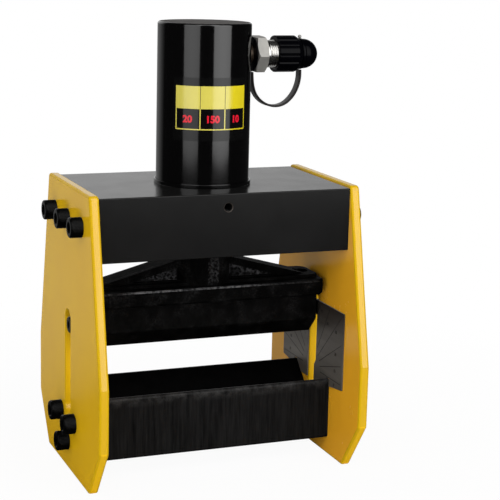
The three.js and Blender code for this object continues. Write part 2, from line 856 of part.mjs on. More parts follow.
function dustCap() {
  const inner = noseThreadRadius + fitGap;
  const ribbed = cut(
    rod(capRadius, capFrom, capGripTo, capFlutes * 2),
    ...flutes(),
  );
  const domeFrom = capGrooveTo + capDomeLength - capDomeRadius;
  const dome = [];
  for (let step = 0; step <= domeSteps; step += 1) {
    const angle = (Math.PI / 2) * (step / domeSteps);
    dome.push([capDomeRadius * Math.cos(angle), domeFrom + capDomeRadius * Math.sin(angle)]);
  }
  dome[domeSteps][0] = 0;
  const profile = [
    [0, capGripTo - capFlute],
    [capRadius - capFlute * 2, capGripTo - capFlute],
    [capRadius - capFlute * 2, capGripTo],
    [capTaperRadius, capTaperTo],
    [capGrooveRadius, capTaperTo],
    [capGrooveRadius, capGrooveTo],
    [capDomeRadius, capGrooveTo],
    ...dome,
  ];
  const body = joined(ribbed, turned(profile, roundSteps));
  return cut(body, rod(inner, capFrom - overrun, capCavityTo, roundSteps));
}

// Round-bottomed grooves along the cap's grip
function flutes() {
  const made = [];
  for (let flute = 0; flute < capFlutes; flute += 1) {
    const angle = (flute / capFlutes) * Math.PI * 2;
    const groove = rod(capFlute, capFrom - overrun, capGripTo + overrun, hexSides);
    made.push(groove.translate(capRadius * Math.cos(angle), capRadius * Math.sin(angle), 0));
  }
  return made;
}

function capEye() {
  const low = capTaperTo + fitGap;
  return ring(capGrooveRadius + fitGap, eyeRadius, low, capGrooveTo - fitGap, roundSteps);
}

function neckEye() {
  const inner = neckRadius + fitGap;
  return ring(inner, inner + neckEyeWall, neckEyeFrom, neckEyeTo, roundSteps);
}

// The flat strap: eight-sided section, its width along Y
function strap() {
  const thin = (strapThick / 2) * strapEdgeShare;
  const thick = strapThick / 2;
  const wide = strapWidth / 2;
  const flat = wide - thick;
  const section = new THREE.Shape();
  section.setFromPoints([
    new THREE.Vector2(-wide, -thin),
    new THREE.Vector2(-flat, -thick),
    new THREE.Vector2(flat, -thick),
    new THREE.Vector2(wide, -thin),
    new THREE.Vector2(wide, thin),
    new THREE.Vector2(flat, thick),
    new THREE.Vector2(-flat, thick),
    new THREE.Vector2(-wide, thin),
  ]);
  const route = new THREE.CatmullRomCurve3(strapRoute.map(([x, z]) => new THREE.Vector3(x, 0, z)));
  const how = { steps: strapSteps, extrudePath: route, bevelEnabled: false };
  return new THREE.ExtrudeGeometry(section, how);
}

const bender = new THREE.Group();

// The frame: plates, block, die and the cylinder's fixed pieces
const frame = new THREE.Group();
bender.add(frame);
for (const [sideName, side] of sides) {
  const plate = piece(frame, `${sideName}_side_plate`, sidePlate(), finish.yellowPaint);
  plate.position.x = side < 0 ? -outerFace : halfGap;
}
piece(frame, "top_block", topBlock(), finish.blackPaint);
piece(frame, "v_die", vDie(), finish.castBlack);
addSideScrews(frame);
piece(frame, "cylinder_barrel", barrel(), finish.glossBlack);
piece(frame, "barrel_foot_ring", footRing(), finish.glossBlack);
piece(frame, "rating_film", ratingFilm(), finish.film);
const gland = ring(ramRadius + fitGap, barrelBore - fitGap, glandLow, glandHigh, roundSteps);
piece(frame, "rod_gland", gland, finish.bronze);
const wiperLow = spigotLow - fitGap - wiperHeight;
const wiper = ring(ramRadius + sealGap, ramRadius + wiperWall, wiperLow, wiperLow + wiperHeight, roundSteps);
piece(frame, "rod_wiper", wiper, finish.seal);
const lockScrew = setScrew(lockHoleRadius - fitGap, lockScrewLength, lockScrewKey, lockKeyDepth);
const barrelLock = piece(frame, "barrel_lock_screw", lockScrew, finish.blackOxide);
barrelLock.rotation.x = Math.PI / 2;
barrelLock.position.set(0, -spigotRadius - fitGap, lockHoleHeight);
const springRadius = (ramRadius + barrelBore) / 2;
const springSpan = [glandHigh + fitGap, pistonLow - fitGap];
const returnSpring = spring(springRadius, springWire, ...springSpan, springTurns, springTurnSteps);
piece(frame, "return_spring", returnSpring, finish.steel);
piece(frame, "front_scale_plate", scalePlate(-1), finish.greySteel);
piece(frame, "rear_scale_plate", scalePlate(1), finish.greySteel);

// The ram and everything that it drives
const press = new THREE.Group();
bender.add(press);
piece(press, "piston", piston(), finish.greySteel);
piece(press, "piston_seal", pistonRing(sealGrooveUp), finish.seal);
piece(press, "piston_wear_ring", pistonRing(wearGrooveUp), finish.bronze);
piece(press, "ram_rod", ram(), finish.steel);
piece(press, "press_head", pressHead(), finish.castBlack);
piece(press, "punch_blade", punchBlade(), finish.castBlack);
const setScrewLength = socketRadius - ramRadius + ramFootBevel;
const ramScrew = setScrew(ramSetScrewRadius, setScrewLength, lockScrewKey, ramFootBevel);
const ramLock = piece(press, "ram_set_screw", ramScrew, finish.blackOxide);
ramLock.rotation.x = -Math.PI / 2;
ramLock.position.set(0, ramRadius - ramFootBevel, ramSetScrewHeight);
for (const [sideName, side] of sides) {
  const pin = piece(press, `guide_pin_${sideName}`, guidePin(), finish.blackOxide);
  pin.rotation.y = (side * Math.PI) / 2;
  pin.position.z = pinHeight;
  const sizes = [bladeScrewRadius, bladeScrewLength, bladeScrewHeadRadius, bladeScrewHeadHeight];
  const screwGeometry = capScrew(...sizes, bladeScrewKey, bladeScrewKeyDepth);
  const bladeScrew = piece(press, `blade_screw_${sideName}`, screwGeometry, finish.blackOxide);
  bladeScrew.position.set(side * bladeScrewX, 0, headTop - bladeScrewHeadHeight);
}

// The oil port, the coupler and its dust cap, turned to point along +X
const coupler = new THREE.Group();
coupler.setRotationFromMatrix(zToX);
coupler.position.z = portHeight;
bender.add(coupler);
piece(coupler, "port_nipple", portNipple(), finish.bronze);
piece(coupler, "coupler_body", couplerBody(), finish.steel);
piece(coupler, "coupler_poppet", poppet(), finish.steel);
piece(coupler, "poppet_spring", poppetSpring(), finish.steel);
piece(coupler, "dust_cap", dustCap(), finish.plastic);
piece(coupler, "cap_eye", capEye(), finish.plastic);
piece(coupler, "neck_eye", neckEye(), finish.plastic);
const eyeMiddle = (capTaperTo + capGrooveTo) / 2;
const rivet = piece(bender, "cap_eye_rivet", rod(rivetRadius, 0, rivetHeight, screwSteps), finish.steel);
rivet.position.set(eyeMiddle, 0, portHeight + eyeRadius + fitGap);
piece(bender, "cap_strap", strap(), finish.plastic);

export default bender;
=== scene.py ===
"""The looks of a hydraulic busbar bender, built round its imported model. Metres; -Y is the front."""

import json
from math import atan, cos, hypot, pi, radians, remainder, sin, sqrt, tan, tau

import bmesh
import bpy
from mathutils import Matrix, Vector

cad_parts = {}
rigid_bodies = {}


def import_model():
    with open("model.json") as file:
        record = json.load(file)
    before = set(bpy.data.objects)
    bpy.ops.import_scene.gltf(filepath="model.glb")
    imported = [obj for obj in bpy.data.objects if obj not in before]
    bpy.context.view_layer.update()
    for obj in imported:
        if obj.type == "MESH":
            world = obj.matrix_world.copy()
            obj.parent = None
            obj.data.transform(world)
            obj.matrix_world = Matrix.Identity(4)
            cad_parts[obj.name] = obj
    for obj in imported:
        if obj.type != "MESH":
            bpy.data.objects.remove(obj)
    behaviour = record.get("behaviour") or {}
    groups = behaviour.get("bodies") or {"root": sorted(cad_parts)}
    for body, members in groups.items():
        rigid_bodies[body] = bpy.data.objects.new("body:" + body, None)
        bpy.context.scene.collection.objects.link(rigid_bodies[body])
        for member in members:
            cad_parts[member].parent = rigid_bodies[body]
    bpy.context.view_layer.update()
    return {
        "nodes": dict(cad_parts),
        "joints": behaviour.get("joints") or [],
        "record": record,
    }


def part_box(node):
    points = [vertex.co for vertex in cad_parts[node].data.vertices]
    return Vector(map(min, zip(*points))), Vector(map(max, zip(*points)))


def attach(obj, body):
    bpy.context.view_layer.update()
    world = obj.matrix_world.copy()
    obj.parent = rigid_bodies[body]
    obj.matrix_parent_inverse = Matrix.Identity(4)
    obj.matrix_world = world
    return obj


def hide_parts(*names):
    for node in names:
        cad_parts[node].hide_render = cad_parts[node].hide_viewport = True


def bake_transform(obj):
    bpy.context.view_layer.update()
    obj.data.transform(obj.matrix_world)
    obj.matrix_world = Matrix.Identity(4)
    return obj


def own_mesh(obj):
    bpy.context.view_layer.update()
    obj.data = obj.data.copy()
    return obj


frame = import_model()

# Where the camera stood, in metres and degrees
CAMERA_PLACE = (-0.4068, -1.1154, 0.4243)
CAMERA_YAW = 21.68
CAMERA_PITCH = -10.79
CAMERA_ROLL = 1.35
CAMERA_LENS = 105.48
CAMERA_SENSOR = 36
CAMERA_SHIFT_SHARES = (0.0150, -0.0495)

# The strap's route in X and Z, from the neck eye down and round to the cap's eye
STRAP_ROUTE = [
    (0.0407, 0.3233), (0.0409, 0.3202), (0.0412, 0.3162), (0.0419, 0.3118),
    (0.0433, 0.3073), (0.0458, 0.3031), (0.0495, 0.2994), (0.0543, 0.2967),
    (0.0600, 0.2952), (0.0660, 0.2955), (0.0715, 0.2978), (0.0762, 0.3019),
    (0.0798, 0.3070), (0.0822, 0.3129), (0.0833, 0.3188), (0.0834, 0.3249),
]
STRAP_WIDTH = 0.009
STRAP_THICK = 0.0018
STRAP_ROUND_SHARE = 0.9
STRAP_STEPS = 120

# Steps, edges, tolerances, and the room round what sits in a hole
ARC_STEPS = 8
ROUND_STEPS = 96
DRILL_STEPS = 48
LOCK_HOLE_STEPS = 32
BARREL_STEPS = 160
HEX_SIDES = 6
SHARP = radians(34)
FLAT_SHARE = 0.99
EDGE = 0.0008
FINE_EDGE = 0.0003
CAST_EDGE = 0.001
OVERRUN = 0.002
ROOM = 0.0003
WELD = 0.000003
WELD_SHARE = 0.0001
FLAT_ANGLE = radians(1)

# Side plates
PLATE_THICK = 0.008
PLATE_CORNER = 0.004
PLATE_EDGE = 0.0018
PLATE_FOOT_CORNER = 0.002
PLATE_TOP_HALF = 0.062
PLATE_WAIST_HALF = 0.093
PLATE_FOOT_HALF = 0.063
WAIST_LOW = 0.041
WAIST_HIGH = 0.092
SLOT_WIDTH = 0.0166
SLOT_SPARE = 0.013

# Cap screws
SCREW_RADIUS = 0.005
SCREW_LENGTH = 0.030
SCREW_HEAD_RADIUS = 0.008
SCREW_HEAD_HEIGHT = 0.010
SCREW_HEAD_ROUND = 0.0012
SCREW_KEY = 0.008
SCREW_KEY_DEPTH = 0.005
KNURL_COUNT = 48
KNURL_DEPTH = 0.00012
KNURL_STEPS = 4
GOLDEN_TURN = 2.4

# Die, blade and guide pins
DIE_EDGE = 0.0025
DIE_LAND = 0.0035
DIE_SLOPE_SHARES = (0.5, 0.9)
GROOVE_RADIUS = 0.003
NOSE_RADIUS = 0.003
BLADE_SCREW_HEAD = 0.008
BLADE_SCREW_RADIUS = 0.004
PIN_THREAD = 0.0203
PIN_NECK = 0.0045
PIN_KEY = 0.006
PIN_KEY_DEPTH = 0.004

# Cylinder, ram and rings
RIM_ROUND = 0.0018
SPIGOT_STEP = 0.0023
LOCK_HOLE_RADIUS = 0.00335
LOCK_HOLE_DROP = 0.011
LOCK_SINK = 0.0006
RAM_THREAD = 0.012
# Each ring's axis, bore and edge
RINGS = {
    "barrel_foot_ring": ("Z", 0.0383, FINE_EDGE),
    "rod_gland": ("Z", 0.0203, FINE_EDGE),
    "rod_wiper": ("Z", 0.02015, FINE_EDGE),
    "neck_eye": ("X", 0.0078, EDGE),
    "cap_eye": ("X", 0.0107, EDGE),
}

# Press head
HEAD_FLANGE = 0.013
HEAD_CORNER = 0.012
HEAD_EDGE = 0.0022
BAND_HALF = 0.018
BAND_RISE = 0.0025
BAND_INSET = 0.002
BAND_CORNER = 0.008
BAND_EDGE = 0.0012
RIB_END = 0.004
RIB_RISE = 0.0265
RIB_HALF = 0.011
POCKET_DEPTH = 0.004
POCKET_RIM = 0.006
POCKET_FLOOR = 0.003
SOCKET_RADIUS = 0.024
SOCKET_EDGE = 0.0015

# Rating label; angles in degrees count from the front towards +X, heights from the block's top
FILM_THICK = 0.00025
FILM_CORNER = 0.002
FILM_FROM = -58
FILM_TO = 42
LABEL_FROM = -54.5
LABEL_TO = 37
LABEL_SPLITS = (-23.7, 6.3)
LABEL_TOP = 0.0815
LABEL_HEADER = 0.0635
LABEL_FOOT = 0.0468
LABEL_LINE = 0.0009
HEADER_LINE = 0.0004
LABEL_NUMBERS = (("20", -39), ("150", -8.7), ("10", 21.5))
DIGIT_SIZE = 0.0076
DIGIT_WEIGHT = 0.00035
PRINT_THICK = 0.00004
SLICE = 0.001

# Angle marks on the scale plates, in degrees from the horizontal
MARK_TO = 90
MARK_STEP = 15
MARK_WIDTH = 0.0006
MARK_THICK = 0.00006
MARK_START = 0.018
MARK_MARGIN = 0.003
MARK_LIFT = 0.0015
MARK_DIGIT = 0.0036
MARK_WEIGHT = 0.00009
MARK_NUMBER_SHARE = 0.7
TINY_SHARE = 1e-6

# Coupler and nipple
HEX_LENGTH = 0.0094
HEX_ACROSS = 0.028
HEX_LEAN = radians(4.5)
HEX_SLOPE_SHARE = 0.58
COLLAR = 0.002
NOSE_THREAD = 0.0113
THREAD_PITCH = 0.0018
THREAD_DEPTH = 0.0007
THREAD_ROWS = 8
POPPET_TIP = 0.0031
POPPET_MOUTH = 0.004
NIPPLE_BORE = 0.0025
NIPPLE_NECK = 0.0075

# Dust cap and the pin on its eye
CAP_GRIP = 0.0176
CAP_RADIUS = 0.015
CAP_BORE = 0.0116
CAP_GROOVE = 0.0104
CAP_END_ROOM = 0.0007
CAP_ROUND = 0.0012
TAPER_RADIUS = 0.0126
DOME_RADIUS = 0.0122
FLUTE_COUNT = 14
FLUTE_STEPS = 16
FLUTE_HALF = 0.0013
FLUTE_DEPTH = 0.0009
RIVET_FROM = -45
RIVET_TO = 90
RIVET_STEPS = 12
RIVET_FOOT_SHARE = 0.7

# Springs: axis, wire, turns and joint
SPRINGS = {
    "return_spring": ("Z", 0.0045, 6, "ram_stroke"),
    "poppet_spring": ("X", 0.0011, 4, "poppet_push"),
}

# Depths of the finishes' grain, and how far their worn edges reach
GLOSS_GRAIN = 0.000004
PAINT_GRAIN = 0.000008
FINE_GRAIN = 0.00001
DULL_GRAIN = 0.00002
STREAK_GRAIN = 0.00006
CAST_GRAIN = 0.0002
SCREW_WEAR = 0.0004
BRIGHT_WEAR = 0.0005
BLOCK_WEAR = 0.0007
DIE_WEAR = 0.0012

# Noise in the finishes; a cloud is (scale, from, to, least, most)
NOISE_DETAIL = 4
NOISE_ROUGH_SHARE = 0.55
PATCH_SCALE = 14
PATCH_SHARES = (0.3, 0.7, 0, 1)
SPECK_SHARES = (0.45, 0.7, 0)
ROUGH_SCALE_SHARE = 3
ROUGH_SHARES = (0.25, 0.75)
BEVEL_SAMPLES = 4
EDGE_SHARES = (0.99, 0.85, 0)
WEAR_CLOUD = (260, 0.4, 0.6, 0.2, 1)
# The next two clouds break up the painted highlights in the press head's pockets and on its socket
HIGHLIGHT_GRAIN_CLOUD = (420, 0.42, 0.62, 0, 1)
DRIFT_CLOUD = (60, 0.4, 0.6, 0.2, 1)
# The next two clouds break up the painted highlight along the press head's upper edge
LINE_CLOUD = (38, 0.34, 0.6, 0.15, 1)
BREAK_CLOUD = (380, 0.38, 0.55, 0.15, 1)
SPOT_CLOUD = (70, 0.48, 0.66, 0, 1)
DOT_CLOUD = (750, 0.42, 0.62, 0.1, 1)
RAG_CLOUD = (150, 0.4, 0.66, 0, 0.8)
RUB_CLOUD = (900, 0.3, 0.6, 0.3, 1)

# Marks and shades on the finishes, with painted highlights on the press head
# Painted highlights on the press head: grey grain in its pockets and on its socket, and a line along its
# upper edge that fades towards +X
POCKET_HIGHLIGHT_GREY = (0.10, 0.10, 0.105)
SOCKET_HIGHLIGHT_GREY = (0.06, 0.06, 0.062)
SOCKET_SHINE = 0.003
SOCKET_SHINE_HALF = 0.005
SOCKET_SHINE_SHARE = 0.6
EDGE_HIGHLIGHT_GREY = (0.17, 0.17, 0.175)
EDGE_HIGHLIGHT_FULL_TO = 0.01
EDGE_HIGHLIGHT_FAINT_FROM = 0.05
EDGE_HIGHLIGHT_FAINT_SHARE = 0.22
HEAD_SPOT = (0.012, 0.012, 0.0122)
BLADE_SPOT = (0.011, 0.011, 0.0112)
DIE_RUB = (0.045, 0.044, 0.043)
DIE_RUB_DEPTH = 0.009
SCALE_BROWN = (0.035, 0.024, 0.018)
SCALE_SHADE_SHARES = (0.35, 0.85)
LABEL_PURE = (0.70, 0.57, 0.012)
LABEL_PURE_FROM = 0.0065
LABEL_PURE_TO = 0.012

# The studio
FLOOR_HALF = 12
FLOOR_COLOUR = (0.86, 0.86, 0.86, 1)
FLOOR_WHITE_SHARES = (0.95, 1.0)
FLOOR_WHITE_FROM = 0.15
FLOOR_WHITE_TO = 0.55
WHITE = (1, 1, 1, 1)
FILL = 0.36
AHEAD = 0.02
BEHIND = 0.8
FLOOR_BEHIND = 0.3
BEHIND_SHARES = (0.68, 0.93)
UNSEEN_LAMP = "lamp_rear_left"
# Each lamp's azimuth from the front towards +X, distance and height, its own width and height,
# the height that it aims at, its spread in degrees and its watts
LAMPS = {
    "softbox_left": (-50, 1.2, 0.86, 0.97, 1.7, 0.5, 110, 3.1),
    "softbox_right": (25, 1.2, 0.86, 1.12, 1.7, 0.5, 110, 5.7),
    "softbox_top": (-10, 1.0, 1.6, 1.3, 1.3, 0.2, 180, 6.5),
    UNSEEN_LAMP: (-122, 1.8, 0.8, 0.6, 0.6, 0.2, 180, 2.8),
}

node_body = {name: body for body, names in frame["record"]["behaviour"]["bodies"].items() for name in names}
node_slot = {part["node"]: part["material_slot"] for part in frame["record"]["subparts"]}
SIDES = {"left": -1, "right": 1}


def low(name):
    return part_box(name)[0]


def high(name):
    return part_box(name)[1]


def middle(name):
    return (low(name) + high(name)) / 2


def shown(name):
    return f"{name}_shown"


def travel(joint_name):
    return next(joint for joint in frame["joints"] if joint["name"] == joint_name)["range_m"][1]


def added(name, data):
    """A new object in the scene."""
    made = bpy.data.objects.new(name, data)
    bpy.context.scene.collection.objects.link(made)
    return made


# The camera

def make_camera():
    yaw, pitch, roll = (radians(angle) for angle in (CAMERA_YAW, CAMERA_PITCH, CAMERA_ROLL))
    forward = Vector((sin(yaw) * cos(pitch), cos(yaw) * cos(pitch), sin(pitch)))
    level = Vector((cos(yaw), -sin(yaw), 0))
    up = level.cross(forward)
    right = level * cos(roll) + up * sin(roll)
    top = up * cos(roll) - level * sin(roll)
    lens = bpy.data.cameras.new("camera")
    lens.sensor_width = CAMERA_SENSOR
    lens.lens = CAMERA_LENS
    lens.shift_x, lens.shift_y = CAMERA_SHIFT_SHARES
    camera = added("camera", lens)
    turn = Matrix((right, top, -forward)).transposed().to_4x4()
    camera.matrix_world = Matrix.Translation(CAMERA_PLACE) @ turn
    bpy.context.scene.camera = camera


make_camera()


# Meshes

def reworked(mesh, change):
    """Changes a mesh through a function of its editable form."""
    shape = bmesh.new()
    shape.from_mesh(mesh)
    change(shape)
    shape.to_mesh(mesh)
    shape.free()


def made_from(name, vertices, faces):
    mesh = bpy.data.meshes.new(name)
    mesh.from_pydata(vertices, [], faces)
    reworked(mesh, lambda shape: bmesh.ops.recalc_face_normals(shape, faces=shape.faces))
    return added(name, mesh)


def along(axis, u, v, w):
    """A point drawn in the plane u, v and placed w along an axis."""
    return {"X": (w, u, v), "Y": (u, w, v), "Z": (u, v, w)}[axis]


def rounded(corners):
    """Outline points through corners (u, v) or (u, v, radius), with an arc at each radius."""
    points = []
    for index, corner in enumerate(corners):
        at = Vector(corner[:2])
        if len(corner) == 2:
            points.append(tuple(at))
            continue
        radius = corner[2]
        back = (Vector(corners[index - 1][:2]) - at).normalized()
        ahead = (Vector(corners[(index + 1) % len(corners)][:2]) - at).normalized()
        half = back.angle(ahead) / 2
        centre = at + (back + ahead).normalized() * radius / sin(half)
        first = at + back * radius / tan(half) - centre
        turn = (pi - 2 * half) * (1 if ahead.cross(back) > 0 else -1)
        for step in range(ARC_STEPS + 1):
            spoke = first.copy()
            spoke.rotate(Matrix.Rotation(turn * step / ARC_STEPS, 2))
            points.append(tuple(centre + spoke))
    return points


def pane(left, right, bottom, top, radius=None):
    """A four-sided outline, with rounded corners where a radius is given."""
    corners = [(left, bottom), (right, bottom), (right, top), (left, top)]
    return rounded([(*corner, radius) for corner in corners]) if radius else corners


def corner_radius(across):
    """From the middle of a hexagon to its corners."""
    return across / 2 / cos(pi / HEX_SIDES)


def hexagon(across, turn=0.0, height=0.0):
    angles = [tau * side / HEX_SIDES + turn for side in range(HEX_SIDES)]
    reach = corner_radius(across)
    return [(reach * cos(angle), reach * sin(angle) + height) for angle in angles]


def skinned(name, rings, ends_first=False):
    """A closed solid through rings of points, with as many points in each."""
    count = len(rings[0])
    vertices = [point for ring in rings for point in ring]
    ends = [tuple(range(count)), tuple(range(len(vertices) - count, len(vertices)))]
    sides = []
    for row in range(0, len(vertices) - count, count):
        for step in range(count):
            ahead = (step + 1) % count
            sides.append((row + step, row + ahead, row + count + ahead, row + count + step))
    return made_from(name, vertices, ends + sides if ends_first else sides + ends)


def lofted(name, sections, axis="X"):
    """A closed solid through sections (place, outline) along an axis."""
    rings = [[along(axis, u, v, place) for u, v in outline] for place, outline in sections]
    return skinned(name, rings, ends_first=True)


def prism(name, outline, start, end, axis="X"):
    return lofted(name, [(start, outline), (end, outline)], axis)


def turned(name, profile, axis="Z", centre=(0, 0), steps=ROUND_STEPS, shaped=None):
    """Turns points (radius, place) about an axis; shaped(angle, radius, place) gives a changed radius."""
    closed = profile[0] == profile[-1]
    vertices, rows = [], []
    for radius, place in profile[:-1] if closed else profile:
        count = steps if radius > 0 else 1
        rows.append(range(len(vertices), len(vertices) + count))
        for step in range(count):
            angle = tau * step / steps
            reach = shaped(angle, radius, place) if shaped else radius
            u, v = centre[0] + reach * cos(angle), centre[1] + reach * sin(angle)
            vertices.append(along(axis, u, v, place))
    faces = []
    for first, second in zip(rows, rows[1:] + rows[:1] if closed else rows[1:]):
        for step in range(steps):
            ahead = step + 1
            corners = [first[step % len(first)], first[ahead % len(first)]]
            corners += [second[ahead % len(second)], second[step % len(second)]]
            face = tuple(dict.fromkeys(corners))
            if len(face) > 2:
                faces.append(face)
    return made_from(name, vertices, faces)


def drill(radius, start, end, axis="Z", centre=(0, 0), steps=ROUND_STEPS):
    """A round cutter from start to end along an axis."""
    return turned("drill", [(0, start), (radius, start), (radius, end), (0, end)], axis, centre, steps)


def applied(piece):
    evaluated = piece.evaluated_get(bpy.context.evaluated_depsgraph_get())
    mesh = bpy.data.meshes.new_from_object(evaluated)
    piece.modifiers.clear()
    piece.data = mesh
    return piece


def combined(piece, operation, *others):
    for other in others:
        modifier = piece.modifiers.new(operation, "BOOLEAN")
        modifier.operation = operation
        modifier.solver = "EXACT"
        modifier.object = other
    applied(piece)
    for other in others:
        bpy.data.objects.remove(other)
    return piece


def cut(piece, *others):
    return combined(piece, "DIFFERENCE", *others)


def softened(piece, width=EDGE, segments=3, clamped=True):
    """Rounds every sharp edge; where clamped, a short edge nearby makes all the rounding narrower."""
    modifier = piece.modifiers.new("edges", "BEVEL")
    modifier.use_clamp_overlap = clamped
    modifier.width = width
    modifier.segments = segments
    modifier.limit_method = "ANGLE"
    modifier.angle_limit = SHARP
    return applied(piece)


def shaded(piece):
    """Smooth shading that keeps sharp edges sharp."""
    piece.data.shade_smooth()
    piece.data.set_sharp_from_angle(angle=SHARP)
    return piece


def smoothed(piece):
    """Smooth shading that also keeps flat faces flat."""
    modifier = shaded(piece).modifiers.new("normals", "WEIGHTED_NORMAL")
    modifier.keep_sharp = True
    return piece


def stands_for(piece, name, look=None):
    """The piece takes its finish and its body from the CAD node that it replaces."""
    slot = node_slot[name]
    piece.data.materials.clear()
    piece.data.materials.append(finishes[look or slot])
    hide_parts(name)
    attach(piece, node_body[name])


def painted_where(piece, look, chosen):
    """Gives the chosen faces of a piece a second finish."""
    piece.data.materials.append(finishes[look])
    for face in piece.data.polygons:
        if chosen(face):
            face.material_index = len(piece.data.materials) - 1


# Nodes of materials

def emptied(owner):
    """The tree of nodes of a material or a world, with nothing in it."""
    owner.use_nodes = True
    owner.node_tree.nodes.clear()
    return owner.node_tree


def node(tree, kind, sockets=None, **settings):
    """A new node, with values or links for its sockets."""
    made = tree.nodes.new(f"ShaderNode{kind}")
    for name, value in settings.items():
        setattr(made, name, value)
    for name, value in (sockets or {}).items():
        if isinstance(value, bpy.types.NodeSocket):
            tree.links.new(value, made.inputs[name])
        else:
            made.inputs[name].default_value = value
    return made


def maths(tree, operation, *values):
    return node(tree, "Math", dict(enumerate(values)), operation=operation).outputs[0]


def vector_maths(tree, operation, *values):
    return node(tree, "VectorMath", dict(enumerate(values)), operation=operation).outputs


def object_place(tree):
    return node(tree, "TexCoord").outputs["Object"]


def parts_of(tree, vector):
    return node(tree, "SeparateXYZ", {"Vector": vector}).outputs


def noise(tree, scale, stretch=(1, 1, 1)):
    """Noise between 0 and 1 in the object's own space, drawn out along the axes with a small stretch."""
    spread = node(tree, "Mapping", {"Vector": object_place(tree), "Scale": stretch}).outputs["Vector"]
    sockets = {"Vector": spread, "Scale": scale, "Detail": NOISE_DETAIL, "Roughness": NOISE_ROUGH_SHARE}
    return node(tree, "TexNoise", sockets).outputs["Fac"]


def ranged(tree, value, *spans):
    """A value taken from one span to another, for spans (from, to, least, most)."""
    sockets = dict(zip(("From Min", "From Max", "To Min", "To Max"), spans))
    return node(tree, "MapRange", {"Value": value, **sockets}).outputs["Result"]


def cloud(tree, look, stretch=(1, 1, 1)):
    """Shares that follow noise, for a look (scale, from, to, least, most)."""
    scale, *spans = look
    return ranged(tree, noise(tree, scale, stretch), *spans)


def mixed(tree, share, first, second):
    """The share says how much of the second colour shows."""
    made = node(tree, "Mix", {"Factor": share}, data_type="RGBA")
    for name, colour in (("A", first), ("B", second)):
        socket = next(s for s in made.inputs if s.name == name and s.type == "RGBA")
        if isinstance(colour, bpy.types.NodeSocket):
            tree.links.new(colour, socket)
        else:
            socket.default_value = (*colour, 1)
    return next(s for s in made.outputs if s.type == "RGBA")


def product(tree, *values):
    result = values[0]
    for value in values[1:]:
        result = maths(tree, "MULTIPLY", result, value)
    return result


def within(tree, value, centre, room):
    """1 where a value lies within some room of a centre, else 0."""
    return maths(tree, "COMPARE", value, centre, room)


def object_parts(tree):
    return parts_of(tree, object_place(tree))


def edge_share(tree, reach, strength):
    """Nearly 0 on flat faces and higher along outer edges, broken up by noise."""
    bevel = node(tree, "Bevel", {"Radius": reach}, samples=BEVEL_SAMPLES).outputs["Normal"]
    normal = node(tree, "NewGeometry").outputs["Normal"]
    dot = vector_maths(tree, "DOT_PRODUCT", bevel, normal)["Value"]
    return product(tree, ranged(tree, dot, *EDGE_SHARES, strength), cloud(tree, WEAR_CLOUD))


def spots(tree):
    return product(tree, cloud(tree, SPOT_CLOUD), cloud(tree, DOT_CLOUD))


def cast_marks(tree, colour):
    """Grainy painted highlights in the rib's pockets and on the socket, a painted highlight along the upper
    edge, and faint spots all over.
    """
    parts = object_parts(tree)
    bottom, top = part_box("press_head")
    flange_top = bottom.z + HEAD_FLANGE
    depth = maths(tree, "ABSOLUTE", parts["Y"])
    highlight_grains = product(tree, cloud(tree, HIGHLIGHT_GRAIN_CLOUD), cloud(tree, DRIFT_CLOUD))
    # Painted highlight, grainy, on the floors of the pockets
    in_pocket = within(tree, depth, RIB_HALF - POCKET_DEPTH, FINE_EDGE)
    colour = mixed(tree, product(tree, in_pocket, highlight_grains), colour, POCKET_HIGHLIGHT_GREY)
    # Painted highlight, grainy, in a band on the socket's front, above the flange and outside the rib
    on_socket = within(tree, parts["X"], SOCKET_SHINE, SOCKET_SHINE_HALF)
    above = ranged(tree, parts["Z"], flange_top, flange_top + BAND_RISE, 0, 1)
    outside = ranged(tree, depth, RIB_HALF, RIB_HALF + EDGE, 0, SOCKET_SHINE_SHARE)
    colour = mixed(tree, product(tree, on_socket, above, outside, highlight_grains), colour, SOCKET_HIGHLIGHT_GREY)
    # Painted highlight along the flange's upper front and rear edges, fainter towards +X
    near_top = within(tree, parts["Z"], flange_top - HEAD_EDGE / 3, HEAD_EDGE / 3)
    near_front = ranged(tree, depth, top.y - HEAD_EDGE, top.y - HEAD_EDGE / 2, 0, 1)
    fading = ranged(tree, parts["X"], EDGE_HIGHLIGHT_FULL_TO, EDGE_HIGHLIGHT_FAINT_FROM, 1, EDGE_HIGHLIGHT_FAINT_SHARE)
    broken = product(tree, cloud(tree, LINE_CLOUD), cloud(tree, BREAK_CLOUD))
    colour = mixed(tree, product(tree, near_top, near_front, fading, broken), colour, EDGE_HIGHLIGHT_GREY)
    return mixed(tree, spots(tree), colour, HEAD_SPOT)


def blade_marks(tree, colour):
    """Faint grey spots."""
    return mixed(tree, spots(tree), colour, BLADE_SPOT)


def die_marks(tree, colour):
    """A rubbed band with a ragged lower edge, below the die's upper edges."""
    top = high("v_die").z
    band = ranged(tree, object_parts(tree)["Z"], top - DIE_RUB_DEPTH, top - DIE_EDGE, 0, 1)
    return mixed(tree, product(tree, band, cloud(tree, RAG_CLOUD), cloud(tree, RUB_CLOUD)), colour, DIE_RUB)


def scale_shade(tree, colour):
    """The scale plates are darker and browner towards their upper edge."""
    bottom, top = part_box("front_scale_plate")
    start_share, most = SCALE_SHADE_SHARES
    start = bottom.z + (top.z - bottom.z) * start_share
    return mixed(tree, ranged(tree, object_parts(tree)["Z"], start, top.z, 0, most), colour, SCALE_BROWN)


def label_shade(tree, colour):
    """The label's yellow is purer towards its right end."""
    share = ranged(tree, object_parts(tree)["X"], LABEL_PURE_FROM, LABEL_PURE_TO, 0, 1)
    return mixed(tree, share, colour, LABEL_PURE)


# Finishes

finishes = {}


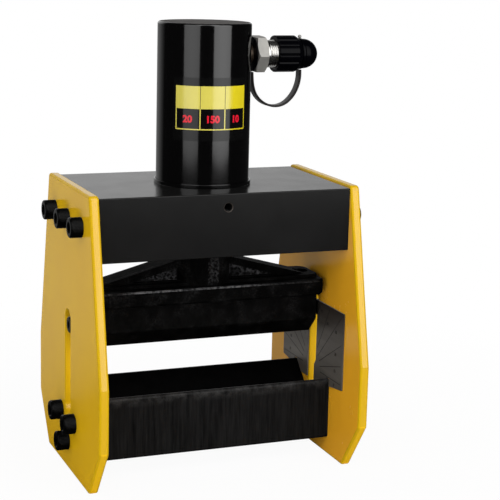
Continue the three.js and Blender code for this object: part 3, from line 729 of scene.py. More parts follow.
def finish(name, colours, rough, grain, metallic=0.0, stretch=(1, 1, 1), patches=PATCH_SCALE, wear=None,
           specular=0.5, speckle=None, tinted=None):
    """Adds a finish with two colours in patches, roughness that varies, a fine grain and worn edges.

    rough is (smoothest, roughest); grain is (scale, depth); wear is (reach, strength, colour);
    speckle is (scale, strength, colour); tinted(tree, colour) lays more colour over the patches.
    """
    material = bpy.data.materials.new(name)
    tree = emptied(material)
    colour = mixed(tree, cloud(tree, (patches, *PATCH_SHARES), stretch), *colours)
    if speckle:
        scale, strength, speck_colour = speckle
        colour = mixed(tree, cloud(tree, (scale, *SPECK_SHARES, strength), stretch), colour, speck_colour)
    if tinted:
        colour = tinted(tree, colour)
    if wear:
        reach, strength, worn_colour = wear
        colour = mixed(tree, edge_share(tree, reach, strength), colour, worn_colour)
    scale, depth = grain
    bump = {"Height": noise(tree, scale, stretch), "Distance": depth, "Strength": 1}
    shader = node(tree, "BsdfPrincipled", {
        "Base Color": colour,
        "Roughness": cloud(tree, (patches * ROUGH_SCALE_SHARE, *ROUGH_SHARES, *rough), stretch),
        "Metallic": metallic,
        "Specular IOR Level": specular,
        "Normal": node(tree, "Bump", bump).outputs["Normal"],
    })
    node(tree, "OutputMaterial", {"Surface": shader.outputs["BSDF"]})
    finishes[name] = material


def grey(value):
    return (value, value, value)


# The plates' paint on their outer faces; darker copies of it as painted shade on their rim and on the
# rounding between the two, and a redder copy as painted shade on their inner faces
for paint, paint_colours, paint_rough, paint_specular in (
    ("yellow_paint", ((0.88, 0.53, 0.008), (0.84, 0.49, 0.010)), (0.13, 0.2), 0.42),
    ("yellow_rim_painted_shade", ((0.71, 0.435, 0.012), (0.68, 0.405, 0.014)), (0.13, 0.2), 0.5),
    ("yellow_edge_painted_shade", ((0.67, 0.415, 0.002), (0.63, 0.385, 0.003)), (0.25, 0.35), 0.08),
    ("yellow_inner_painted_shade", ((0.98, 0.49, 0.022), (0.92, 0.45, 0.022)), (0.2, 0.3), 0.4),
):
    finish(paint, paint_colours, paint_rough, (700, PAINT_GRAIN), specular=paint_specular)

# The top block
finish("black_paint", (grey(0.0066), (0.0086, 0.0084, 0.0082)), (0.16, 0.22), (1400, FINE_GRAIN),
       wear=(BLOCK_WEAR, 0.25, grey(0.06)), specular=0.22)

# The cylinder with its foot ring, and the cylinder's end
finish("gloss_black", ((0.0006, 0.0005, 0.0006), (0.001, 0.0009, 0.001)), (0.08, 0.11), (500, GLOSS_GRAIN),
       specular=0.74)
finish("end_black", ((0.030, 0.021, 0.015), (0.010, 0.007, 0.006)), (0.42, 0.52), (700, DULL_GRAIN),
       patches=40, specular=0.08)

# The die, its V with its slopes in a darker copy of the die's steel as painted shade, the blade and the press
# head
streaks = {"rough": (0.34, 0.5), "grain": (1100, STREAK_GRAIN)}
short_streaks = {**streaks, "stretch": (1, 1, 0.4), "patches": 110, "wear": (EDGE, 0.3, grey(0.05))}
finish("blackened_steel", (grey(0.0014), (0.0095, 0.0093, 0.0091)), **streaks, stretch=(1, 1, 0.05),
       patches=360, wear=(DIE_WEAR, 0.6, (0.14, 0.138, 0.135)), specular=0.1,
       speckle=(900, 0.6, (0.014, 0.0137, 0.0135)), tinted=die_marks)
finish("v_slope_painted_shade", (grey(0.0003), (0.0014, 0.0013, 0.0013)), **short_streaks, specular=0.03,
       speckle=(1300, 0.5, grey(0.003)))
finish("blade_steel", (grey(0.0003), (0.003, 0.0029, 0.0028)), **short_streaks, specular=0.045,
       speckle=(1300, 0.5, (0.005, 0.005, 0.0048)), tinted=blade_marks)
finish("cast_black", (grey(0.0003), grey(0.0018)), (0.5, 0.65), (1300, CAST_GRAIN), patches=50,
       wear=(EDGE, 0.15, grey(0.03)), specular=0.012, speckle=(1200, 0.4, grey(0.01)), tinted=cast_marks)

# Screws and pins; the ram, springs and hexagon; the thread; the scale plates; the nipple and gland
finish("black_oxide", ((0.0012, 0.0012, 0.0013), grey(0.003)), (0.2, 0.3), (1800, FINE_GRAIN),
       wear=(SCREW_WEAR, 0.15, grey(0.06)), specular=0.09)
finish("bright_steel", ((0.40, 0.39, 0.36), (0.32, 0.31, 0.29)), (0.36, 0.5), (1500, FINE_GRAIN),
       metallic=0.45, patches=80, wear=(BRIGHT_WEAR, 0.5, (0.75, 0.74, 0.70)))
finish("turned_steel", ((0.72, 0.71, 0.68), (0.60, 0.59, 0.56)), (0.16, 0.26), (1500, FINE_GRAIN),
       metallic=1.0, patches=80)
finish("grey_steel", ((0.24, 0.225, 0.20), (0.12, 0.11, 0.10)), (0.36, 0.5), (1600, FINE_GRAIN),
       metallic=0.5, stretch=(1, 0.1, 1), patches=60, tinted=scale_shade)
finish("bronze", ((0.20, 0.15, 0.11), (0.13, 0.10, 0.075)), (0.28, 0.42), (1500, FINE_GRAIN),
       metallic=0.7, patches=90)

# Seals, the dust cap with its two eyes, and the strap
finish("seal", (grey(0.018), grey(0.028)), (0.6, 0.8), (1500, DULL_GRAIN))
finish("black_plastic", ((0.0004, 0.0004, 0.0009), (0.001, 0.001, 0.0018)), (0.15, 0.22), (2200, FINE_GRAIN),
       specular=0.07)
finish("strap_black", ((0.009, 0.0066, 0.006), (0.013, 0.0098, 0.009)), (0.28, 0.4), (2200, DULL_GRAIN),
       specular=0.26)

# The label's film and print, and the scale plates' marks
finish("film", (grey(0.002), grey(0.003)), (0.08, 0.12), (300, GLOSS_GRAIN))
finish("yellow_print", ((0.66, 0.58, 0.10), (0.62, 0.54, 0.085)), (0.12, 0.18), (300, GLOSS_GRAIN),
       specular=0.9, tinted=label_shade)
finish("red_print", ((0.75, 0.010, 0.03), (0.66, 0.01, 0.025)), (0.12, 0.16), (300, GLOSS_GRAIN))
finish("dark_print", ((0.014, 0.012, 0.01), (0.03, 0.026, 0.02)), (0.4, 0.6), (900, FINE_GRAIN))

for cad_name, cad_piece in frame["nodes"].items():
    cad_piece.data.materials.clear()
    cad_piece.data.materials.append(finishes[node_slot[cad_name]])


# The strap comes first of the pieces

def route_points(route, steps):
    """Points along a smooth curve through the route, which lies in X and Z."""
    ends = [Vector(route[0]) * 2 - Vector(route[1]), Vector(route[-1]) * 2 - Vector(route[-2])]
    knots = [ends[0]] + [Vector(point) for point in route] + [ends[1]]
    points = []
    for step in range(steps + 1):
        place = step / steps * (len(route) - 1)
        span = min(int(place), len(route) - 2)
        t = place - span
        a, b, c, d = knots[span:span + 4]
        curve = b * 2 + (c - a) * t + (a * 2 - b * 5 + c * 4 - d) * t ** 2 + (b * 3 - a - c * 3 + d) * t ** 3
        points.append(curve / 2)
    return points


def make_strap():
    points = route_points(STRAP_ROUTE, STRAP_STEPS)
    half, thick = STRAP_WIDTH / 2, STRAP_THICK / 2
    section = pane(-half, half, -thick, thick, thick * STRAP_ROUND_SHARE)
    rings = []
    for step, point in enumerate(points):
        ahead = points[min(step + 1, STRAP_STEPS)] - points[max(step - 1, 0)]
        across = Vector((-ahead.y, ahead.x)).normalized()
        rings.append([(point.x + across.x * out, y, point.y + across.y * out) for y, out in section])
    strap = shaded(skinned(shown("cap_strap"), rings))
    strap.data.materials.append(finishes["strap_black"])
    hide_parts("cap_strap")
    path = [(point.x, 0, point.y) for point in points]
    length = sum((Vector(b) - Vector(a)).length for a, b in zip(path, path[1:]))
    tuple(path[0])
    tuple(path[0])
    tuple(path[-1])
    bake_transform(strap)


make_strap()


# The frame of the machine

def side_screws(side_name):
    return [name for name in frame["nodes"] if f"_screw_{side_name}_" in name]


def make_side_plate(side_name, side):
    name = f"{side_name}_side_plate"
    bottom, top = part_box(name)
    half = [
        (PLATE_TOP_HALF, top.z, PLATE_CORNER),
        (PLATE_WAIST_HALF, WAIST_HIGH, PLATE_CORNER),
        (PLATE_WAIST_HALF, WAIST_LOW, PLATE_CORNER),
        (PLATE_FOOT_HALF, bottom.z, PLATE_FOOT_CORNER),
    ]
    outline = rounded(half + [(-y, z, radius) for y, z, radius in reversed(half)])
    pin_height = middle("guide_pin_left").z
    slot_foot = pin_height - travel("ram_stroke") - SLOT_SPARE

    def slot(room):
        end = SLOT_WIDTH / 2 + room
        return pane(-end, end, slot_foot - room, pin_height + SLOT_SPARE + room, end)

    plate = softened(prism(shown(name), outline, bottom.x, top.x), PLATE_EDGE, clamped=False)
    cutters = [lofted("slot", [
        (bottom.x - OVERRUN, slot(EDGE + OVERRUN)),
        (bottom.x + EDGE, slot(0)),
        (top.x - EDGE, slot(0)),
        (top.x + OVERRUN, slot(EDGE + OVERRUN)),
    ])]
    for screw in side_screws(side_name):
        cutters.append(drill(SCREW_RADIUS + ROOM, bottom.x - OVERRUN, top.x + OVERRUN, "X", middle(screw).yz))
    stands_for(smoothed(cut(plate, *cutters)), name)

    def on_rim(face):
        outside = abs(face.center.y) > SLOT_WIDTH or face.normal.z > FLAT_SHARE
        return outside and abs(face.normal.x) < 1 - FLAT_SHARE and face.normal.z > FLAT_SHARE - 1

    # Painted shade: the inner faces take a redder copy of the paint, the rim and the roundings darker copies
    painted_where(plate, "yellow_inner_painted_shade", lambda face: -face.normal.x * side > FLAT_SHARE)
    painted_where(plate, "yellow_rim_painted_shade", on_rim)
    painted_where(plate, "yellow_edge_painted_shade", lambda face: 1 - FLAT_SHARE < abs(face.normal.x) < FLAT_SHARE)


def make_top_block():
    bottom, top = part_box("top_block")
    block = prism(shown("top_block"), pane(bottom.y, top.y, bottom.z, top.z), bottom.x, top.x)
    barrel_room = high("cylinder_barrel").y - SPIGOT_STEP + ROOM
    bore = drill(barrel_room, low("cylinder_barrel").z, top.z + OVERRUN)
    ram_hole = drill(high("rod_wiper").y + ROOM, bottom.z - OVERRUN, top.z)
    height = top.z - LOCK_HOLE_DROP
    lock_hole = turned("lock_hole", [
        (0, bottom.y - OVERRUN), (LOCK_HOLE_RADIUS + LOCK_SINK + OVERRUN, bottom.y - OVERRUN),
        (LOCK_HOLE_RADIUS, bottom.y + LOCK_SINK), (LOCK_HOLE_RADIUS, 0), (0, 0),
    ], "Y", (0, height), LOCK_HOLE_STEPS)
    stands_for(smoothed(cut(softened(block), bore, ram_hole, lock_hole)), "top_block")

    def on_hole_rim(face):
        near = hypot(face.center.x, face.center.z - height) < LOCK_HOLE_RADIUS + LOCK_SINK
        return near and face.center.y < bottom.y + LOCK_SINK and face.normal.y > -FLAT_SHARE

    # The lock hole's chamfer is painted grey steel: bare metal, and also a painted highlight on the black
    # block
    painted_where(block, "grey_steel", on_hole_rim)


def make_die():
    bottom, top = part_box("v_die")
    groove = top.y - DIE_LAND
    outline = rounded([
        (top.y, bottom.z, DIE_EDGE),
        (top.y, top.z, DIE_EDGE),
        (groove, top.z),
        (0, top.z - groove, GROOVE_RADIUS),
        (-groove, top.z),
        (-top.y, top.z, DIE_EDGE),
        (-top.y, bottom.z, DIE_EDGE),
    ])
    die = softened(prism(shown("v_die"), outline, bottom.x, top.x), clamped=False)
    stands_for(smoothed(die), "v_die")
    least, most = DIE_SLOPE_SHARES

    def on_slope(face):
        return least < face.normal.z < most and abs(face.center.y) < groove

    # The V's slopes take a darker copy of the die's steel: painted shade
    painted_where(die, "v_slope_painted_shade", on_slope)


def cap_screw_mesh():
    """A socket head cap screw about Z, with a knurled head that stands on z = 0."""
    head, top = SCREW_HEAD_RADIUS, SCREW_HEAD_HEIGHT
    step = SCREW_HEAD_ROUND / 2
    knurl_top = top - SCREW_HEAD_ROUND - step
    profile = rounded([
        (0, -SCREW_LENGTH), (SCREW_RADIUS, -SCREW_LENGTH, step), (SCREW_RADIUS, 0), (head, 0, FINE_EDGE),
        (head, step * 2), (head, knurl_top - step), (head, top, SCREW_HEAD_ROUND), (0, top),
    ])

    def knurled(angle, radius, place):
        if radius < head or place < step or place > knurl_top:
            return radius
        return radius - KNURL_DEPTH * (1 + cos(angle * KNURL_COUNT))

    screw = turned("cap_screw", profile, steps=KNURL_COUNT * KNURL_STEPS, shaped=knurled)
    floor, fine = top - SCREW_KEY_DEPTH, FINE_EDGE
    corner = corner_radius(SCREW_KEY)
    socket = prism("socket", hexagon(SCREW_KEY), floor, top + OVERRUN, "Z")
    tip = [(0, floor - SCREW_KEY / 4), (SCREW_KEY / 2 - fine, floor + fine), (0, floor + fine)]
    mouth = [
        (0, top - fine * 2), (corner - fine, top - fine * 2),
        (corner + fine * 2, top + fine), (0, top + fine),
    ]
    cut(screw, socket, turned("tip", tip), turned("mouth", mouth))
    mesh = applied(smoothed(screw)).data
    bpy.data.objects.remove(screw)
    return mesh


def make_side_screws():
    mesh = cap_screw_mesh()
    for side_name, side in SIDES.items():
        for number, name in enumerate(side_screws(side_name)):
            place = Matrix.Translation((high("right_side_plate").x * side, *middle(name).yz))
            spin = Matrix.Rotation(number * GOLDEN_TURN, 4, "Z")
            screw = added(shown(name), mesh)
            screw.matrix_world = place @ Matrix.Rotation(side * pi / 2, 4, "Y") @ spin
            stands_for(screw, name)


def make_barrel():
    bottom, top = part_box("cylinder_barrel")
    radius, spigot = top.y, top.y - SPIGOT_STEP
    block_top = high("top_block").z
    bore, bore_top = high("piston").y + ROOM, high("piston").z + ROOM
    profile = rounded([
        (bore, bottom.z),
        (spigot, bottom.z, FINE_EDGE),
        (spigot, block_top),
        (radius, block_top),
        (radius, top.z, RIM_ROUND),
        (0, top.z),
        (0, bore_top),
        (bore, bore_top, FINE_EDGE),
    ])
    barrel = turned(shown("cylinder_barrel"), profile + profile[:1], steps=BARREL_STEPS)
    nipple_low, nipple_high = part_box("port_nipple")
    port_centre = (0, middle("port_nipple").z)
    cut(barrel, drill(nipple_high.y + ROOM, nipple_low.x - ROOM, radius + OVERRUN, "X", port_centre))
    stands_for(smoothed(barrel), "cylinder_barrel")
    end = top.z - FINE_EDGE
    painted_where(barrel, "end_black", lambda face: face.center.z > end and face.normal.z > FLAT_SHARE)


def make_ring(name, axis, inner, edge):
    """A plain ring in the room of its CAD node, with rounded edges."""
    place = "XYZ".index(axis)
    bottom, top = low(name)[place], high(name)[place]
    outer = (high(name).y - low(name).y) / 2
    centre = (0, middle(name).z) if axis == "X" else (0, 0)
    profile = rounded([(inner, bottom, edge), (outer, bottom, edge), (outer, top, edge), (inner, top, edge)])
    stands_for(smoothed(turned(shown(name), profile + profile[:1], axis, centre, BARREL_STEPS)), name)


# The rating label

def wrapped(piece, radius):
    """Slices a flat piece drawn in X and Y, and lays it round the barrel, with X as length along the arc."""
    def bent(shape):
        xs = [vertex.co.x for vertex in shape.verts]
        place = min(xs) + SLICE
        while place < max(xs):
            every = shape.verts[:] + shape.edges[:] + shape.faces[:]
            bmesh.ops.bisect_plane(shape, geom=every, plane_co=(place, 0, 0), plane_no=(1, 0, 0))
            place += SLICE
        for vertex in shape.verts:
            angle, reach = vertex.co.x / radius, radius + vertex.co.z
            vertex.co = (reach * sin(angle), -reach * cos(angle), vertex.co.y)

    reworked(piece.data, bent)
    return piece


def printed(name, pieces, look):
    """Joins thin pieces into one print that stays with the frame."""
    base = pieces[0]
    with bpy.context.temp_override(active_object=base, selected_editable_objects=pieces):
        bpy.ops.object.join()
    base.name = name
    base.data.materials.clear()
    base.data.materials.append(finishes[look])
    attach(base, "frame")
    return base


def flat_box(left, right, bottom, top, thick=PRINT_THICK):
    return prism("flat", pane(left, right, bottom, top), 0, thick, "Z")


def digits(text, size, thick, weight):
    curve = bpy.data.curves.new("digits", "FONT")
    curve.body = text
    curve.size = size
    curve.align_x = curve.align_y = "CENTER"
    curve.extrude = thick / 2
    curve.offset = weight
    writing = added("digits", curve)
    mesh = bpy.data.meshes.new_from_object(writing.evaluated_get(bpy.context.evaluated_depsgraph_get()))
    bpy.data.objects.remove(writing)
    reworked(mesh, lambda shape: bmesh.ops.remove_doubles(shape, verts=shape.verts, dist=size * WELD_SHARE))
    mesh.transform(Matrix.Translation((0, 0, thick / 2)))
    return added("digits", mesh)


def make_label():
    film_low, film_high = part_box("rating_film")
    radius = -film_low.y
    base = radius - FILM_THICK
    left, right = (radians(angle) * base for angle in (FILM_FROM, FILM_TO))
    outline = pane(left, right, film_low.z, film_high.z, FILM_CORNER)
    film = prism(shown("rating_film"), outline, 0, FILM_THICK, "Z")
    stands_for(smoothed(wrapped(film, base)), "rating_film")

    def arc(angle):
        return radians(angle) * radius

    top, header, foot = (high("top_block").z + rise for rise in (LABEL_TOP, LABEL_HEADER, LABEL_FOOT))
    start, end, line = arc(LABEL_FROM), arc(LABEL_TO), LABEL_LINE
    yellow = [flat_box(start, end, header, top), flat_box(start, end, foot, foot + line)]
    for place in (start, end - line, *(arc(angle) - line / 2 for angle in LABEL_SPLITS)):
        yellow.append(flat_box(place, place + line, foot + line, header))
    splits = []
    for place in (arc(angle) - HEADER_LINE / 2 for angle in LABEL_SPLITS):
        splits.append(flat_box(place, place + HEADER_LINE, header, top, PRINT_THICK * 2))
    numbers = []
    for text, angle in LABEL_NUMBERS:
        number = digits(text, DIGIT_SIZE, PRINT_THICK, DIGIT_WEIGHT)
        number.data.transform(Matrix.Translation((arc(angle), (foot + header) / 2, 0)))
        numbers.append(number)
    wrapped(printed("label_yellow", yellow, "yellow_print"), radius)
    wrapped(printed("label_lines", splits, "dark_print"), radius)
    wrapped(printed("label_numbers", numbers, "red_print"), radius)


# The ram and all that it drives

def make_ram():
    bottom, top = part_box("ram_rod")
    radius = top.y
    shoulder = low("piston").z
    profile = rounded([
        (0, bottom.z), (radius, bottom.z, SOCKET_EDGE), (radius, shoulder, FINE_EDGE), (RAM_THREAD, shoulder),
        (RAM_THREAD, top.z, FINE_EDGE), (0, top.z),
    ])
    ram = turned(shown("ram_rod"), profile, steps=BARREL_STEPS)
    seat = low("ram_set_screw").y - ROOM
    centre, hole = set_screw_hole()
    cut(ram, drill(hole, seat, radius + OVERRUN, "Y", centre, DRILL_STEPS))
    stands_for(smoothed(ram), "ram_rod")


def set_screw_hole():
    """The centre and radius of the hole for the ram's set screw."""
    height = middle("ram_set_screw").z
    return (0, height), high("ram_set_screw").z - height + ROOM


def slab(name, half_x, half_y, corner, bottom, top, edge):
    outline = pane(-half_x, half_x, -half_y, half_y, corner)
    return softened(prism(name, outline, bottom, top, "Z"), edge, segments=4)


def make_rib(half, flange_top):
    """A gable with a sunk triangle in each face."""
    foot = flange_top - HEAD_EDGE
    gable = [(-half, foot), (half, foot), (half, flange_top), (0, flange_top + RIB_RISE), (-half, flange_top)]
    rib = prism("rib", gable, -RIB_HALF, RIB_HALF, "Y")
    slope = RIB_RISE / half
    drop = POCKET_RIM / cos(atan(slope))
    reach = half - (POCKET_FLOOR + drop) / slope
    floor = flange_top + POCKET_FLOOR
    pocket = [(-reach, floor), (reach, floor), (0, flange_top + RIB_RISE - drop)]
    for side in SIDES.values():
        start, end = side * (RIB_HALF - POCKET_DEPTH), side * (RIB_HALF + OVERRUN)
        cut(rib, prism("pocket", pocket, start, end, "Y"))
    return rib


def blade_screw_holes(bottom, top):
    """Cutters for the blade's screws, wider where their heads sit."""
    holes = []
    for side_name in SIDES:
        screw_high = high(f"blade_screw_{side_name}")
        shank, head = BLADE_SCREW_RADIUS + ROOM, screw_high.y + ROOM
        seat = screw_high.z - BLADE_SCREW_HEAD
        hole = [(0, bottom), (shank, bottom), (shank, seat), (head, seat), (head, top), (0, top)]
        holes.append(turned("hole", hole, "Z", (middle(f"blade_screw_{side_name}").x, 0), DRILL_STEPS))
    return holes


def make_press_head():
    bottom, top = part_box("press_head")
    flange_top = bottom.z + HEAD_FLANGE
    foot, band_top = flange_top - HEAD_EDGE, flange_top + BAND_RISE
    head = slab(shown("press_head"), top.x, top.y, HEAD_CORNER, bottom.z, flange_top, HEAD_EDGE)
    band = slab("band", top.x - BAND_INSET, BAND_HALF, BAND_CORNER, bottom.z + HEAD_EDGE, band_top, BAND_EDGE)
    rib = make_rib(top.x - RIB_END, flange_top)
    socket = turned("socket", rounded([
        (0, foot), (SOCKET_RADIUS, foot), (SOCKET_RADIUS, top.z, SOCKET_EDGE), (0, top.z),
    ]), steps=BARREL_STEPS)
    softened(combined(head, "UNION", band, rib, socket), CAST_EDGE)
    ram_room, ram_foot = high("ram_rod").y + ROOM, low("ram_rod").z
    ram_hole = turned("ram_hole", [
        (0, ram_foot), (ram_room, ram_foot), (ram_room, top.z - EDGE),
        (ram_room + EDGE + OVERRUN, top.z + OVERRUN), (0, top.z + OVERRUN),
    ])
    centre, hole = set_screw_hole()
    tap = drill(hole, ram_room, SOCKET_RADIUS + OVERRUN, "Y", centre, DRILL_STEPS)
    cut(head, ram_hole, *blade_screw_holes(bottom.z - OVERRUN, flange_top + RIB_RISE), tap)
    stands_for(smoothed(head), "press_head", "cast_black")


def make_blade():
    bottom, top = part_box("punch_blade")
    apex = bottom.z - NOSE_RADIUS * (sqrt(2) - 1)
    shoulder = apex + top.y
    outline = rounded([
        (-top.y, top.z), (-top.y, shoulder, NOSE_RADIUS), (0, apex, NOSE_RADIUS),
        (top.y, shoulder, NOSE_RADIUS), (top.y, top.z),
    ])
    blade = softened(prism(shown("punch_blade"), outline, bottom.x, top.x))
    pin_centre = (0, middle("guide_pin_left").z)
    cutters = []
    for side_name, side in SIDES.items():
        tip, mouth = side * (top.x - PIN_THREAD), side * (top.x + OVERRUN)
        cutters.append(drill(PIN_NECK + ROOM, tip, mouth, "X", pin_centre, DRILL_STEPS))
        screw = f"blade_screw_{side_name}"
        start, centre = low(screw).z - ROOM, (middle(screw).x, 0)
        cutters.append(drill(BLADE_SCREW_RADIUS + ROOM, start, top.z + OVERRUN, "Z", centre, DRILL_STEPS))
    stands_for(smoothed(cut(blade, *cutters)), "punch_blade", "blade_steel")


def make_guide_pin(side_name, side):
    name = f"guide_pin_{side_name}"
    tip, face = sorted((abs(low(name).x), abs(high(name).x)))
    height = middle(name).z
    radius = high(name).z - height
    shoulder = high("right_side_plate").x - PLATE_THICK + ROOM
    profile = rounded([
        (0, tip), (PIN_NECK, tip, FINE_EDGE), (PIN_NECK, shoulder), (radius, shoulder, FINE_EDGE),
        (radius, face, EDGE), (0, face),
    ])
    pin = turned(shown(name), [(r, side * x) for r, x in profile], "X", (0, height))
    floor, mouth = side * (face - PIN_KEY_DEPTH), side * (face + OVERRUN)
    cut(pin, prism("socket", hexagon(PIN_KEY, height=height), floor, mouth))
    stands_for(smoothed(pin), name)


# The scale plates

def make_scale_plate(name):
    """The CAD plate with its edges softened."""
    mesh = frame["nodes"][name].data.copy()
    plate = added(shown(name), mesh)

    def cleaned(shape):
        bmesh.ops.remove_doubles(shape, verts=shape.verts, dist=WELD)
        bmesh.ops.dissolve_limit(shape, angle_limit=FLAT_ANGLE, verts=shape.verts, edges=shape.edges)

    reworked(mesh, cleaned)
    stands_for(smoothed(softened(plate, FINE_EDGE, segments=2)), name)


def make_scale_marks(name, side):
    """Marks that fan out from the die's middle, on the part beside the slot, with their angles."""
    bottom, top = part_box(name)
    near, far = sorted((abs(bottom.y), abs(top.y)))
    inner, centre = bottom.x, high("v_die").z
    rise = centre + MARK_LIFT
    facing = Matrix(((0, 0, -1), (-1, 0, 0), (0, 1, 0))).to_4x4()
    marks = []
    for degrees in range(0, MARK_TO + 1, MARK_STEP):
        angle = radians(degrees)
        ahead = Vector((side * cos(angle), sin(angle)))
        aside = Vector((-ahead.y, ahead.x))
        wide, tall = (max(abs(share), TINY_SHARE) for share in ahead)
        end = min((far - MARK_MARGIN) / wide, (top.z - centre - MARK_MARGIN) / tall)
        start = max((near + MARK_MARGIN * 2) / wide, MARK_START)
        if start >= end:
            continue
        half = aside * MARK_WIDTH / 2
        corners = [ahead * start - half, ahead * end - half, ahead * end + half, ahead * start + half]
        outline = [(corner.x, corner.y + rise) for corner in corners]
        marks.append(prism("mark", outline, inner - MARK_THICK, inner + MARK_THICK))
        number = digits(str(degrees), MARK_DIGIT, MARK_THICK * 2, MARK_WEIGHT)
        at = ahead * (start + (end - start) * MARK_NUMBER_SHARE) + aside * MARK_DIGIT
        number.data.transform(Matrix.Translation((inner, at.x, at.y + rise)) @ facing)
        marks.append(number)
    printed(f"{name}_marks", marks, "dark_print")


# The coupler, the cap and the springs

def make_coupler():
    hex_from, nose_to = low("coupler_body").x, high("coupler_body").x
    hex_to = hex_from + HEX_LENGTH
    height = middle("coupler_body").z
    corner = corner_radius(HEX_ACROSS)
    chamfer = corner - HEX_ACROSS / 2
    slope = chamfer * HEX_SLOPE_SHARE
    body = prism(shown("coupler_body"), hexagon(HEX_ACROSS, HEX_LEAN, height), hex_from, hex_to)
    ball = turned("ball", [
        (0, hex_from), (corner - chamfer, hex_from), (corner, hex_from + slope),
        (corner + OVERRUN, hex_from + chamfer), (corner + OVERRUN, hex_to - chamfer),
        (corner, hex_to - slope), (corner - chamfer, hex_to), (0, hex_to),
    ], "X", (0, height))
    softened(combined(body, "INTERSECT", ball), FINE_EDGE)
    rows = int((nose_to - hex_to) / THREAD_PITCH * THREAD_ROWS)
    profile = [(0, hex_to - OVERRUN), (NOSE_THREAD, hex_to - OVERRUN)]
    profile += [(NOSE_THREAD, hex_to + (nose_to - hex_to) * row / rows) for row in range(rows + 1)]

    def threaded(angle, radius, place):
        groove = 2 * abs(remainder(place / THREAD_PITCH - angle / tau, 1))
        start = min(1, max(0, (place - hex_to - COLLAR) / THREAD_PITCH))
        lead = max(0, 1 - (nose_to - place) / THREAD_DEPTH)
        return radius - THREAD_DEPTH * (groove * start + lead)

    nose = turned("nose", profile + [(0, nose_to)], "X", (0, height), shaped=threaded)
    combined(body, "UNION", nose)
    nipple, poppet = high("port_nipple"), high("coupler_poppet")
    bores = (
        (nipple.y + ROOM, hex_from - OVERRUN, nipple.x + ROOM),
        (POPPET_MOUTH, hex_from, nose_to + OVERRUN),
        (poppet.y + ROOM, low("poppet_spring").x - ROOM, poppet.x - POPPET_TIP),
    )
    cut(body, *(drill(*bore, "X", (0, height), DRILL_STEPS) for bore in bores))
    stands_for(smoothed(body), "coupler_body")
    painted_where(body, "turned_steel", lambda face: face.center.x > hex_to - FINE_EDGE)


def make_nipple():
    bottom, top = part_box("port_nipple")
    wall, hex_from = high("cylinder_barrel").y, low("coupler_body").x
    thread = top.y
    profile = rounded([
        (NIPPLE_BORE, bottom.x), (thread, bottom.x, FINE_EDGE), (thread, wall), (NIPPLE_NECK, wall),
        (NIPPLE_NECK, hex_from), (thread, hex_from + FINE_EDGE), (thread, top.x, FINE_EDGE),
        (NIPPLE_BORE, top.x),
    ])
    nipple = turned(shown("port_nipple"), profile + profile[:1], "X", (0, middle("port_nipple").z))
    stands_for(smoothed(nipple), "port_nipple")


def make_dust_cap():
    bottom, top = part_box("dust_cap")
    eye_low, eye_high = low("cap_eye").x - ROOM, high("cap_eye").x + ROOM
    dome_from = top.x - DOME_RADIUS
    cavity = high("coupler_body").x + CAP_END_ROOM
    flute_length = CAP_GRIP - CAP_ROUND * 2
    rows = [bottom.x + CAP_ROUND + flute_length * row / ARC_STEPS for row in range(1, ARC_STEPS)]
    outer = rounded([
        (CAP_BORE, bottom.x, EDGE),
        (CAP_RADIUS, bottom.x, EDGE),
        *((CAP_RADIUS, place) for place in rows),
        (CAP_RADIUS, bottom.x + CAP_GRIP, CAP_ROUND),
        (TAPER_RADIUS, eye_low, EDGE),
        (CAP_GROOVE, eye_low),
        (CAP_GROOVE, eye_high),
        (DOME_RADIUS, eye_high, FINE_EDGE),
        (DOME_RADIUS, dome_from),
    ])
    dome = []
    for step in range(1, ARC_STEPS * 2):
        angle = pi / 4 * step / ARC_STEPS
        dome.append((DOME_RADIUS * cos(angle), dome_from + DOME_RADIUS * sin(angle)))
    profile = outer + dome + [(0, top.x), (0, cavity), (CAP_BORE, cavity)]

    def fluted(angle, radius, place):
        arc = CAP_RADIUS * abs(remainder(angle, tau / FLUTE_COUNT))
        if radius < TAPER_RADIUS or place > eye_low or arc > FLUTE_HALF:
            return radius
        share = (1 + cos(pi * arc / FLUTE_HALF)) / 2
        return radius - FLUTE_DEPTH * share * min(1, (radius - TAPER_RADIUS) / FLUTE_DEPTH)

    centre = (0, middle("dust_cap").z)
    cap = turned(shown("dust_cap"), profile + profile[:1], "X", centre, FLUTE_COUNT * FLUTE_STEPS, fluted)
    stands_for(smoothed(cap), "dust_cap")


def make_rivet():
    bottom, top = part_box("cap_eye_rivet")
    radius = top.y
    profile = [(0, bottom.z), (radius * RIVET_FOOT_SHARE, bottom.z)]
    for step in range(RIVET_STEPS):
        angle = radians(RIVET_FROM + (RIVET_TO - RIVET_FROM) * step / RIVET_STEPS)
        profile.append((radius * cos(angle), top.z - radius + radius * sin(angle)))
    profile.append((0, top.z))
    rivet = turned(shown("cap_eye_rivet"), profile, "Z", middle("cap_eye_rivet").xy, DRILL_STEPS)
    stands_for(smoothed(rivet), "cap_eye_rivet")


def make_spring(name, axis, wire, turns, joint):
    """A coil in the room of its CAD node."""
    place = "XYZ".index(axis)
    start, end = low(name)[place], high(name)[place]
    centre = middle(name).yz if axis == "X" else (0, 0)
    radius = (high(name).y - low(name).y - wire) / 2
    steps, around = turns * DRILL_STEPS, ARC_STEPS * 2
    rings = []
    for step in range(steps + 1):
        angle = tau * turns * step / steps
        rise = start + wire / 2 + (end - start - wire) * step / steps
        ring = []
        for side in range(around):
            turn = tau * side / around
            reach = radius + wire / 2 * cos(turn)
            u, v = centre[0] + reach * cos(angle), centre[1] + reach * sin(angle)
            ring.append(along(axis, u, v, rise + wire / 2 * sin(turn)))
        rings.append(ring)
    coil = skinned(shown(name), rings)
    coil.data.shade_smooth()
    stands_for(coil, name)
    keep = (end - start - travel(joint)) / (end - start)
    along(axis, 0, 0, 1)
    along(axis, *centre, start)
    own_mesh(coil)


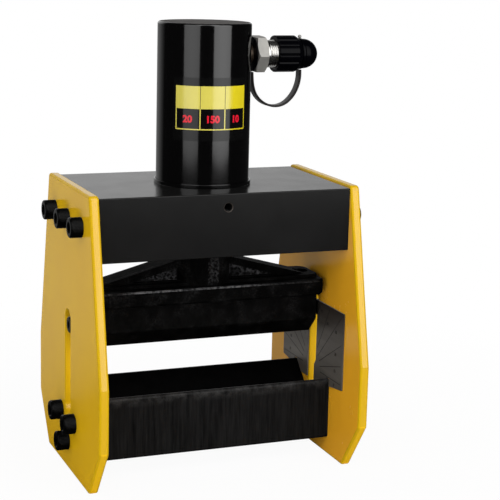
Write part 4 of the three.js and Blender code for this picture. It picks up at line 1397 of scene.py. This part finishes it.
make_top_block()
make_die()
for side_name, side in SIDES.items():
    make_side_plate(side_name, side)
    make_guide_pin(side_name, side)
make_side_screws()
make_barrel()
for ring_name, ring_look in RINGS.items():
    make_ring(ring_name, *ring_look)
make_label()
make_ram()
make_press_head()
make_blade()
for plate_name, plate_side in (("front_scale_plate", -1), ("rear_scale_plate", 1)):
    make_scale_plate(plate_name)
    make_scale_marks(plate_name, plate_side)
make_coupler()
make_nipple()
make_dust_cap()
make_rivet()
for spring_name, spring_look in SPRINGS.items():
    make_spring(spring_name, *spring_look)


# The studio

def behind_share(tree, direction, most):
    """Dark ahead of the object and bright behind it, for a direction."""
    return ranged(tree, parts_of(tree, direction)["Y"], *BEHIND_SHARES, AHEAD, most)


def either(tree, share, first, second):
    """A mix of two shaders."""
    return node(tree, "MixShader", {0: share, 1: first, 2: second}).outputs[0]


def make_floor():
    """A pale floor: the camera sees it white with a faint shadow, and reflections see it dark in front."""
    corners = [(u, v, 0) for u, v in pane(-FLOOR_HALF, FLOOR_HALF, -FLOOR_HALF, FLOOR_HALF)]
    floor = made_from("floor", corners, [(0, 1, 2, 3)])
    material = bpy.data.materials.new("floor")
    tree = emptied(material)
    rays = node(tree, "LightPath").outputs
    place = object_place(tree)
    distance = vector_maths(tree, "LENGTH", place)["Value"]
    white_share = ranged(tree, distance, FLOOR_WHITE_FROM, FLOOR_WHITE_TO, *FLOOR_WHITE_SHARES)
    plain = node(tree, "BsdfDiffuse", {"Color": FLOOR_COLOUR}).outputs[0]
    white = node(tree, "Emission", {"Color": WHITE, "Strength": 1}).outputs[0]
    seen = either(tree, product(tree, rays["Is Camera Ray"], white_share), plain, white)
    behind = behind_share(tree, vector_maths(tree, "NORMALIZE", place)["Vector"], FLOOR_BEHIND)
    reflected = node(tree, "Emission", {"Strength": behind}).outputs[0]
    surface = either(tree, rays["Is Glossy Ray"], seen, reflected)
    node(tree, "OutputMaterial", {"Surface": surface})
    floor.data.materials.append(material)


def make_world():
    """White for the camera and behind the object in reflections, with a plain fill on matt surfaces."""
    world = bpy.data.worlds.new("studio")
    bpy.context.scene.world = world
    tree = emptied(world)
    rays = node(tree, "LightPath").outputs
    behind = behind_share(tree, node(tree, "TexCoord").outputs["Generated"], BEHIND)
    glossy = node(tree, "Mix", {"Factor": rays["Is Glossy Ray"], "A": FILL, "B": behind}).outputs[0]
    seen = maths(tree, "MAXIMUM", rays["Is Camera Ray"], rays["Is Transmission Ray"])
    strength = node(tree, "Mix", {"Factor": seen, "A": glossy, "B": 1.0}).outputs[0]
    background = node(tree, "Background", {"Color": WHITE, "Strength": strength}).outputs[0]
    node(tree, "OutputWorld", {"Surface": background})


def make_lamps():
    for name, (azimuth, distance, height, width, tall, aim, spread, watts) in LAMPS.items():
        light = bpy.data.lights.new(name, "AREA")
        light.shape = "RECTANGLE"
        light.size, light.size_y, light.energy = width, tall, watts
        light.spread = radians(spread)
        around = radians(azimuth)
        place = Vector((sin(around) * distance, -cos(around) * distance, height))
        turn = (place - Vector((0, 0, aim))).to_track_quat("Z", "Y").to_matrix().to_4x4()
        lamp = added(name, light)
        lamp.matrix_world = Matrix.Translation(place) @ turn
        lamp.visible_glossy = name != UNSEEN_LAMP


def calm_reflections():
    """Keeps the block and the plates out of the gloss barrel, as in the photograph."""
    for name in ("top_block", "left_side_plate", "right_side_plate"):
        bpy.data.objects[shown(name)].visible_glossy = False


make_floor()
make_world()
make_lamps()
calm_reflections()
bpy.context.scene.view_settings.view_transform = "Standard"
